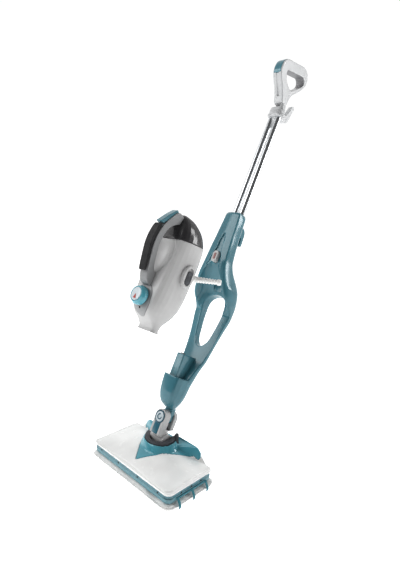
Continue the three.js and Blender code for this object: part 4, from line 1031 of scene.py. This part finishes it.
# ---- hand-held steamer ----
STATIONS = [
    (0, 15, -15, 25, 31, 0, 3.2), (5, 13, -13, 23, 28.5, 0, 3.2), (18, 21, -16, 22, 30, 2, 3.2),
    (37, 45, -28, 23, 38, 6, 3.4),
    (49, 51, -34, 26, 43, 6, 3.5), (69, 54, -41, 30, 48, 5, 3.5), (105, 54, -45, 35, 51, 3, 3.5),
    (185, 50, -47, 37, 52, 0, 3.5), (222, 47, -46, 34, 50, 0, 3.4),
    (234, 44.5, -45, 31, 47.5, 0, 3.2), (250, 43, -39, 26, 43, 0, 3),
    (264, 41, -30, 20, 37, 2, 2.8), (282, 37.5, -8, 12, 23, 9, 2.4),
    (288, 34, 4, 8, 14, 15, 2.2), (291, 30, 11, 4, 7, 20, 2),
]
BAR_LINE = [
    (44, 96), (66, 98), (78, 116), (86, 155), (93.5, 196), (87, 236), (72, 264), (57, 286),
    (39, 283), (26, 272), (36, 264), (56, 252), (72, 233), (78, 197), (71, 157), (64, 134),
    (46, 118),
]
BAR_GRIP = [
    (83, 124), (88, 156), (94, 198), (87, 237), (95, 241), (102.5, 198), (94.5, 156), (87, 123),
]
BAR_BUTTON = [(86, 241), (95, 244), (78, 268), (60, 289), (53, 284), (70, 262)]
PRESS = (1.9, 1.7)                    # how far the thumb button sinks into the bar


def scoop():
    return ellipsoid("scoop", at(0, 75, 185), (50, 42, 62))


# Everything below the tank's slanted lower edge.
def under(offset):
    rear, front = (221 + 0.15 * (50 - u) + offset for u in (-90, 150))
    return slab("under", [(-90, -20), (150, -20), (150, front), (-90, rear)], 120)


def panel_column(grow):
    return plate("panel", oval(27 + grow, 39 + grow, 0, 66, 96), 20, 90)


# The dial's hole and the lamp's.
def panel_holes():
    return peg(DIAL["v"], 30, 90, 4.4), peg(44, 30, 90, 2.7, 24)


def mouth():
    return box("mouth", (-13.8, -70, -6), (13.8, 9.7, 64))


def steamer_pieces():
    form = cut(skin("steamer", STATIONS, corner=5, step=4), scoop())
    shell = meet(copy(form, "shell"), under(-0.2))
    shell = cut(shell, mouth(), meet(panel_column(0.5), cut(
        box("all", (-60, -80, -20), (60, 90, 200)), skin("in", STATIONS, 1.6, corner=5),
    )))
    shell = moulded(shell, 1.0, 4)
    shell = cut(shell, *panel_holes())
    right = meet(copy(shell, "right"), box("r", (0.12, -90, -20), (90, 90, 300)))
    left = meet(shell, box("l", (-90, -90, -20), (-0.12, 90, 300)))
    finished(right, "steamer_right_form", LIGHT, "steamer", "steamer_shell_right", 50)
    finished(left, "steamer_left_form", LIGHT, "steamer", "steamer_shell_left", 50)
    tank = moulded(cut(form, under(0.2)), 0.9, 5)
    tank = cut(tank, peg(251, -28, -90, 13.3, 64))
    finished(tank, "tank_form", SMOKE, "steamer", "water_tank", 60)


def panel_piece():
    outer = skin("outer", STATIONS[:8], -1.2, corner=5)
    panel = meet(cut(outer, skin("inner", STATIONS[:8], 1.3, corner=5)), panel_column(0))
    largest_part(panel)
    panel = cut(panel, *panel_holes())
    finished(moulded(panel, 0.55, 3), "panel_form", PANEL, "steamer", "dial_panel", 50)
    lens = turned("lens", at(0, 44, 44), (0, -1, 0),
                  [(0, 2.3), (6.2, 2.3), (6.8, 1.7), (7, 0.6)], 32)
    finished(lens, "led_form", SMOKE, "steamer", "led_lens")


# Keeps only the largest connected part of a mesh.
def largest_part(obj):
    made = bmesh.new()
    made.from_mesh(obj.data)
    left, best = set(made.verts), set()
    while left:
        seen, edge = set(), [left.pop()]
        while edge:
            vertex = edge.pop()
            seen.add(vertex)
            fresh = {e.other_vert(vertex) for e in vertex.link_edges} & left
            left -= fresh
            edge += fresh
        best = max(best, seen, key=len)
    bmesh.ops.delete(made, geom=[v for v in made.verts if v not in best], context="VERTS")
    made.to_mesh(obj.data)
    made.free()


# A closed outline drawn through the middles of a polygon's sides, as smooth arcs.
def arcs(points, steps=10):
    made = []
    for i, corner in enumerate(points):
        before = (Vector(points[i - 1]) + Vector(corner)) / 2
        after = (Vector(points[(i + 1) % len(points)]) + Vector(corner)) / 2
        made += [arc(before, Vector(corner), after, k / steps) for k in range(steps)]
    return [tuple(p) for p in made]


# A polygon pushed outward by a distance; its points run anticlockwise.
def grown(points, distance):
    made = []
    for i, corner in enumerate(points):
        before = (Vector(corner) - Vector(points[i - 1])).normalized()
        after = (Vector(points[(i + 1) % len(points)]) - Vector(corner)).normalized()
        first, second = Vector((before.y, -before.x)), Vector((after.y, -after.x))
        middle = (first + second).normalized()
        made.append(tuple(Vector(corner) + middle * distance / middle.dot(second)))
    return made


def bar_pieces():
    bar = bevelled(slab("bar", arcs(BAR_LINE), 13), 3.6, 5, 50)
    moulded(bar, 0.7, 8)
    bar = cut(
        bar, slab("g", grown(BAR_GRIP[::-1], 0.3), 11.3), slab("b", grown(BAR_BUTTON, 0.3), 10.3),
        slab("pressed", [(u - PRESS[0], v - PRESS[1]) for u, v in grown(BAR_BUTTON, 0.3)], 10.3),
        skin("s", STATIONS, -0.3, corner=5),
        meet(panel_column(0.3), skin("p", STATIONS, -1.5, corner=5)),
    )
    largest_part(bar)
    finished(bar, "bar_form", SILVER, "steamer", "steamer_handle", 50)
    grip = bevelled(slab("grip", arcs(BAR_GRIP, 8), 11), 2.6, 5, 50)
    finished(moulded(grip, 0.55, 6), "grip_form", BLACK, "steamer", "steamer_grip", 60)
    button = moulded(bevelled(slab("button", rounded(BAR_BUTTON, 2), 10), 2.0, 4, 50), 0.5, 5)
    finished(button, "thumb_button", TEAL_BODY, "trigger", "steam_button", 60)


def dial_pieces():
    v, start, depth = DIAL["v"], DIAL["from"], DIAL["depth"]
    knob = turned("knob", at(0, start, v), (0, -1, 0), [
        (0, 21.8), (0.8, 22.7), (2, 23), (9.5, 23), (11, 22.6), (12.5, 21.6), (14.6, 20.3),
        (16.6, 19.4), (17.6, 18.8), (18, 18), (17.9, 16.9), (17.2, 16.4), (16, 16.3),
    ], 96)
    notches = [
        turned("n", at(24.1 * math.cos(a), start - 1, v + 24.1 * math.sin(a)), (0, -1, 0),
               [(0, 1.5), (11, 1.5)], 12)
        for a in [math.tau * k / 30 for k in range(30)]
    ]
    knob = cut(knob, *notches)
    knob = join(knob, peg(v, 38, start + 2, 4))
    finished(moulded(knob, 0.45, 3), "knob_form", TEAL_CLEAR, "dial", "steam_dial", 60)
    face = turned("face", at(0, start + depth - 1.7, v), (0, -1, 0), [
        (0, 16), (1.3, 16), (1.9, 15.5), (2.1, 14.6), (2.1, 8),
    ], 72)
    finished(face, "knob_face", PALE, "dial", "dial_face")
    pointer = plate("pointer", rounded([(-5, v - 11), (5, v - 11), (0, v + 1)], 1.2),
                    start + depth - 0.5, start + depth + 0.8)
    finished(bevelled(pointer, 0.3, 3, 60), "knob_pointer", RED, "dial", "dial_pointer")


def side_plate(name, outline, low, high):
    return prism(name, [at(low, u, v) for u, v in outline], (high - low, 0, 0))


def boss_pieces():
    boss = bevelled(side_plate("boss", oval(19, 28, -5, 150, 96), 44, 60), 3.2, 5, 50)
    boss = cut(
        boss, skin("s", STATIONS, -0.3, corner=5),
        side_plate("slot", capsule(9.7, 42.6, -5, 150, 24), 55, 80),
    )
    largest_part(boss)
    finished(moulded(boss, 0.55, 4), "boss_form", LIGHT, "steamer", "side_boss", 60)
    slider = bevelled(side_plate("slider", capsule(9.4, 33, -5, 147, 24), 55.3, 61.2), 1.2, 4, 60)
    slider = cut(slider, *[
        side_plate("r", [(-11, v), (1, v), (1, v + 0.9), (-11, v + 0.9)], 60.4, 63)
        for v in (141, 144, 147, 150, 153)
    ])
    finished(slider, "slider_form", DARK, "slider", "boss_slider", 50)


# The ribbed sleeve round the cord's way in, open at its tip.
def relief_piece():
    start, along = at(47.8, -35, 155), at(0.84, -0.5, 0.2)
    profile = [(-6.8, 5.6), (0, 5.6), (0, 8.3), (1, 8.5), (5, 8.5), (6, 8.1)]
    for i in range(7):
        z, radius = 8 + i * 7, mix(7.6, 6.4, i / 6)
        profile += [(z - 1, radius - 1.5), (z, radius - 0.6), (z + 1, radius - 0.1),
                    (z + 2.2, radius), (z + 3.4, radius - 0.1), (z + 4.4, radius - 0.7)]
    profile += [(56, 5.2), (57, 6.8), (58.5, 7.5), (61, 7.6), (63.5, 7.5), (65.6, 6.8), (66.8, 5.4),
                (67, 4.3)]
    sleeve = turned("sleeve", start, along, profile, 48)
    way = along.normalized()
    sleeve = cut(sleeve, rod("bore", start + way * 40, start + way * 70, 3.8, 32))
    finished(sleeve, "relief_form", WHITE, "steamer", "strain_relief", 60)


def cap_piece():
    cap = turned("cap", at(0, -28, 251), (0, 1, 0), [
        (0, 10), (9.5, 10), (9.6, 12.4), (10.4, 13), (12.4, 13), (13.3, 12.4), (13.6, 11),
        (13.2, 10.2), (12.9, 4),
    ], 64)
    cap = cut(cap, box("slot", (-7, -43, 249.6), (7, -40.9, 252.4)))
    finished(cap, "cap_form", DARK, "steamer", "tank_cap")


# ---- light and camera ----
def glowing(name, place, aim, size, power):
    light = bpy.data.lights.new(name, "AREA")
    light.shape = "RECTANGLE"
    light.size, light.size_y = size
    light.energy = power
    obj = bpy.data.objects.new(name, light)
    obj.location = place
    obj.rotation_mode = "QUATERNION"
    obj.rotation_quaternion = (Vector(aim) - Vector(place)).to_track_quat("-Z", "Y")
    bpy.context.scene.collection.objects.link(obj)


def studio():
    bpy.context.scene.view_settings.view_transform = "Standard"
    bpy.context.scene.view_settings.gamma = 0.84
    world = bpy.data.worlds.new("studio")
    bpy.context.scene.world = world
    world.use_nodes = True
    tree = world.node_tree
    shader = next(n for n in tree.nodes if n.type == "BACKGROUND")
    way = node(tree, "ShaderNodeTexCoord").outputs["Generated"]
    toward = node(tree, "ShaderNodeVectorMath", {0: way, 1: (0.687, -0.727, 0)},
                  operation="DOT_PRODUCT").outputs["Value"]
    shade_of = spread(tree, toward, -0.55, 0.35, 1, 0)
    light = blended(tree, shade_of, (0.15, 0.15, 0.15, 1), (1.02, 1.02, 1.02, 1))
    seen = node(tree, "ShaderNodeLightPath").outputs["Is Camera Ray"]
    tree.links.new(blended(tree, seen, light, (1.02, 1.02, 1.02, 1)), shader.inputs["Color"])
    ground = mesh_object("floor", [(-30, -30, 0), (30, -30, 0), (30, 30, 0), (-30, 30, 0)],
                         [(0, 1, 2, 3)])
    ground.location.z = -0.0005
    material, tree, shader, place = blank("pale floor")
    mottle = noise(tree, place, 3, 2)
    tree.links.new(
        blended(tree, mottle, (0.93, 0.93, 0.93, 1), (0.95, 0.95, 0.95, 1)),
        shader.inputs["Base Color"],
    )
    shader.inputs["Roughness"].default_value = 0.9
    shader.inputs["Emission Color"].default_value = (1, 1, 1, 1)
    shader.inputs["Emission Strength"].default_value = 0.68
    ground.data.materials.append(material)
    glowing("key", (-1.5, -2.2, 2.6), (0, 0.15, 0.5), (2.4, 2.4), 62)
    glowing("rim", (1.6, 2.2, 1.6), (0, 0.2, 0.6), (0.5, 1.8), 24)


def camera():
    lens = bpy.data.cameras.new("camera")
    lens.lens = 26.23
    lens.sensor_width = 36
    obj = bpy.data.objects.new("camera", lens)
    bpy.context.scene.collection.objects.link(obj)
    right, up, back = (
        Vector((0.7195, 0.6927, 0.0497)), Vector((-0.1615, 0.0973, 0.9821)),
        Vector((0.6754, -0.7147, 0.1819)),
    )
    turn = Matrix((right, up, back)).transposed().to_4x4()
    obj.matrix_world = Matrix.Translation((0.737598, -0.629064, 0.664793)) @ turn
    bpy.context.scene.camera = obj


for make in (
    finish_frame_nodes, camera, studio, head_pieces, saddle_piece, tray_pieces, cloth_pad,
    elastic_pieces, neck_pieces, hose_piece, body_pieces, spigot_piece, button_pieces,
    tube_pieces, lower_hook_piece, handle_pieces, collar_piece, upper_hook_piece,
    steamer_pieces, panel_piece, bar_pieces, dial_pieces, boss_pieces, relief_piece, cap_piece,
):
    make()
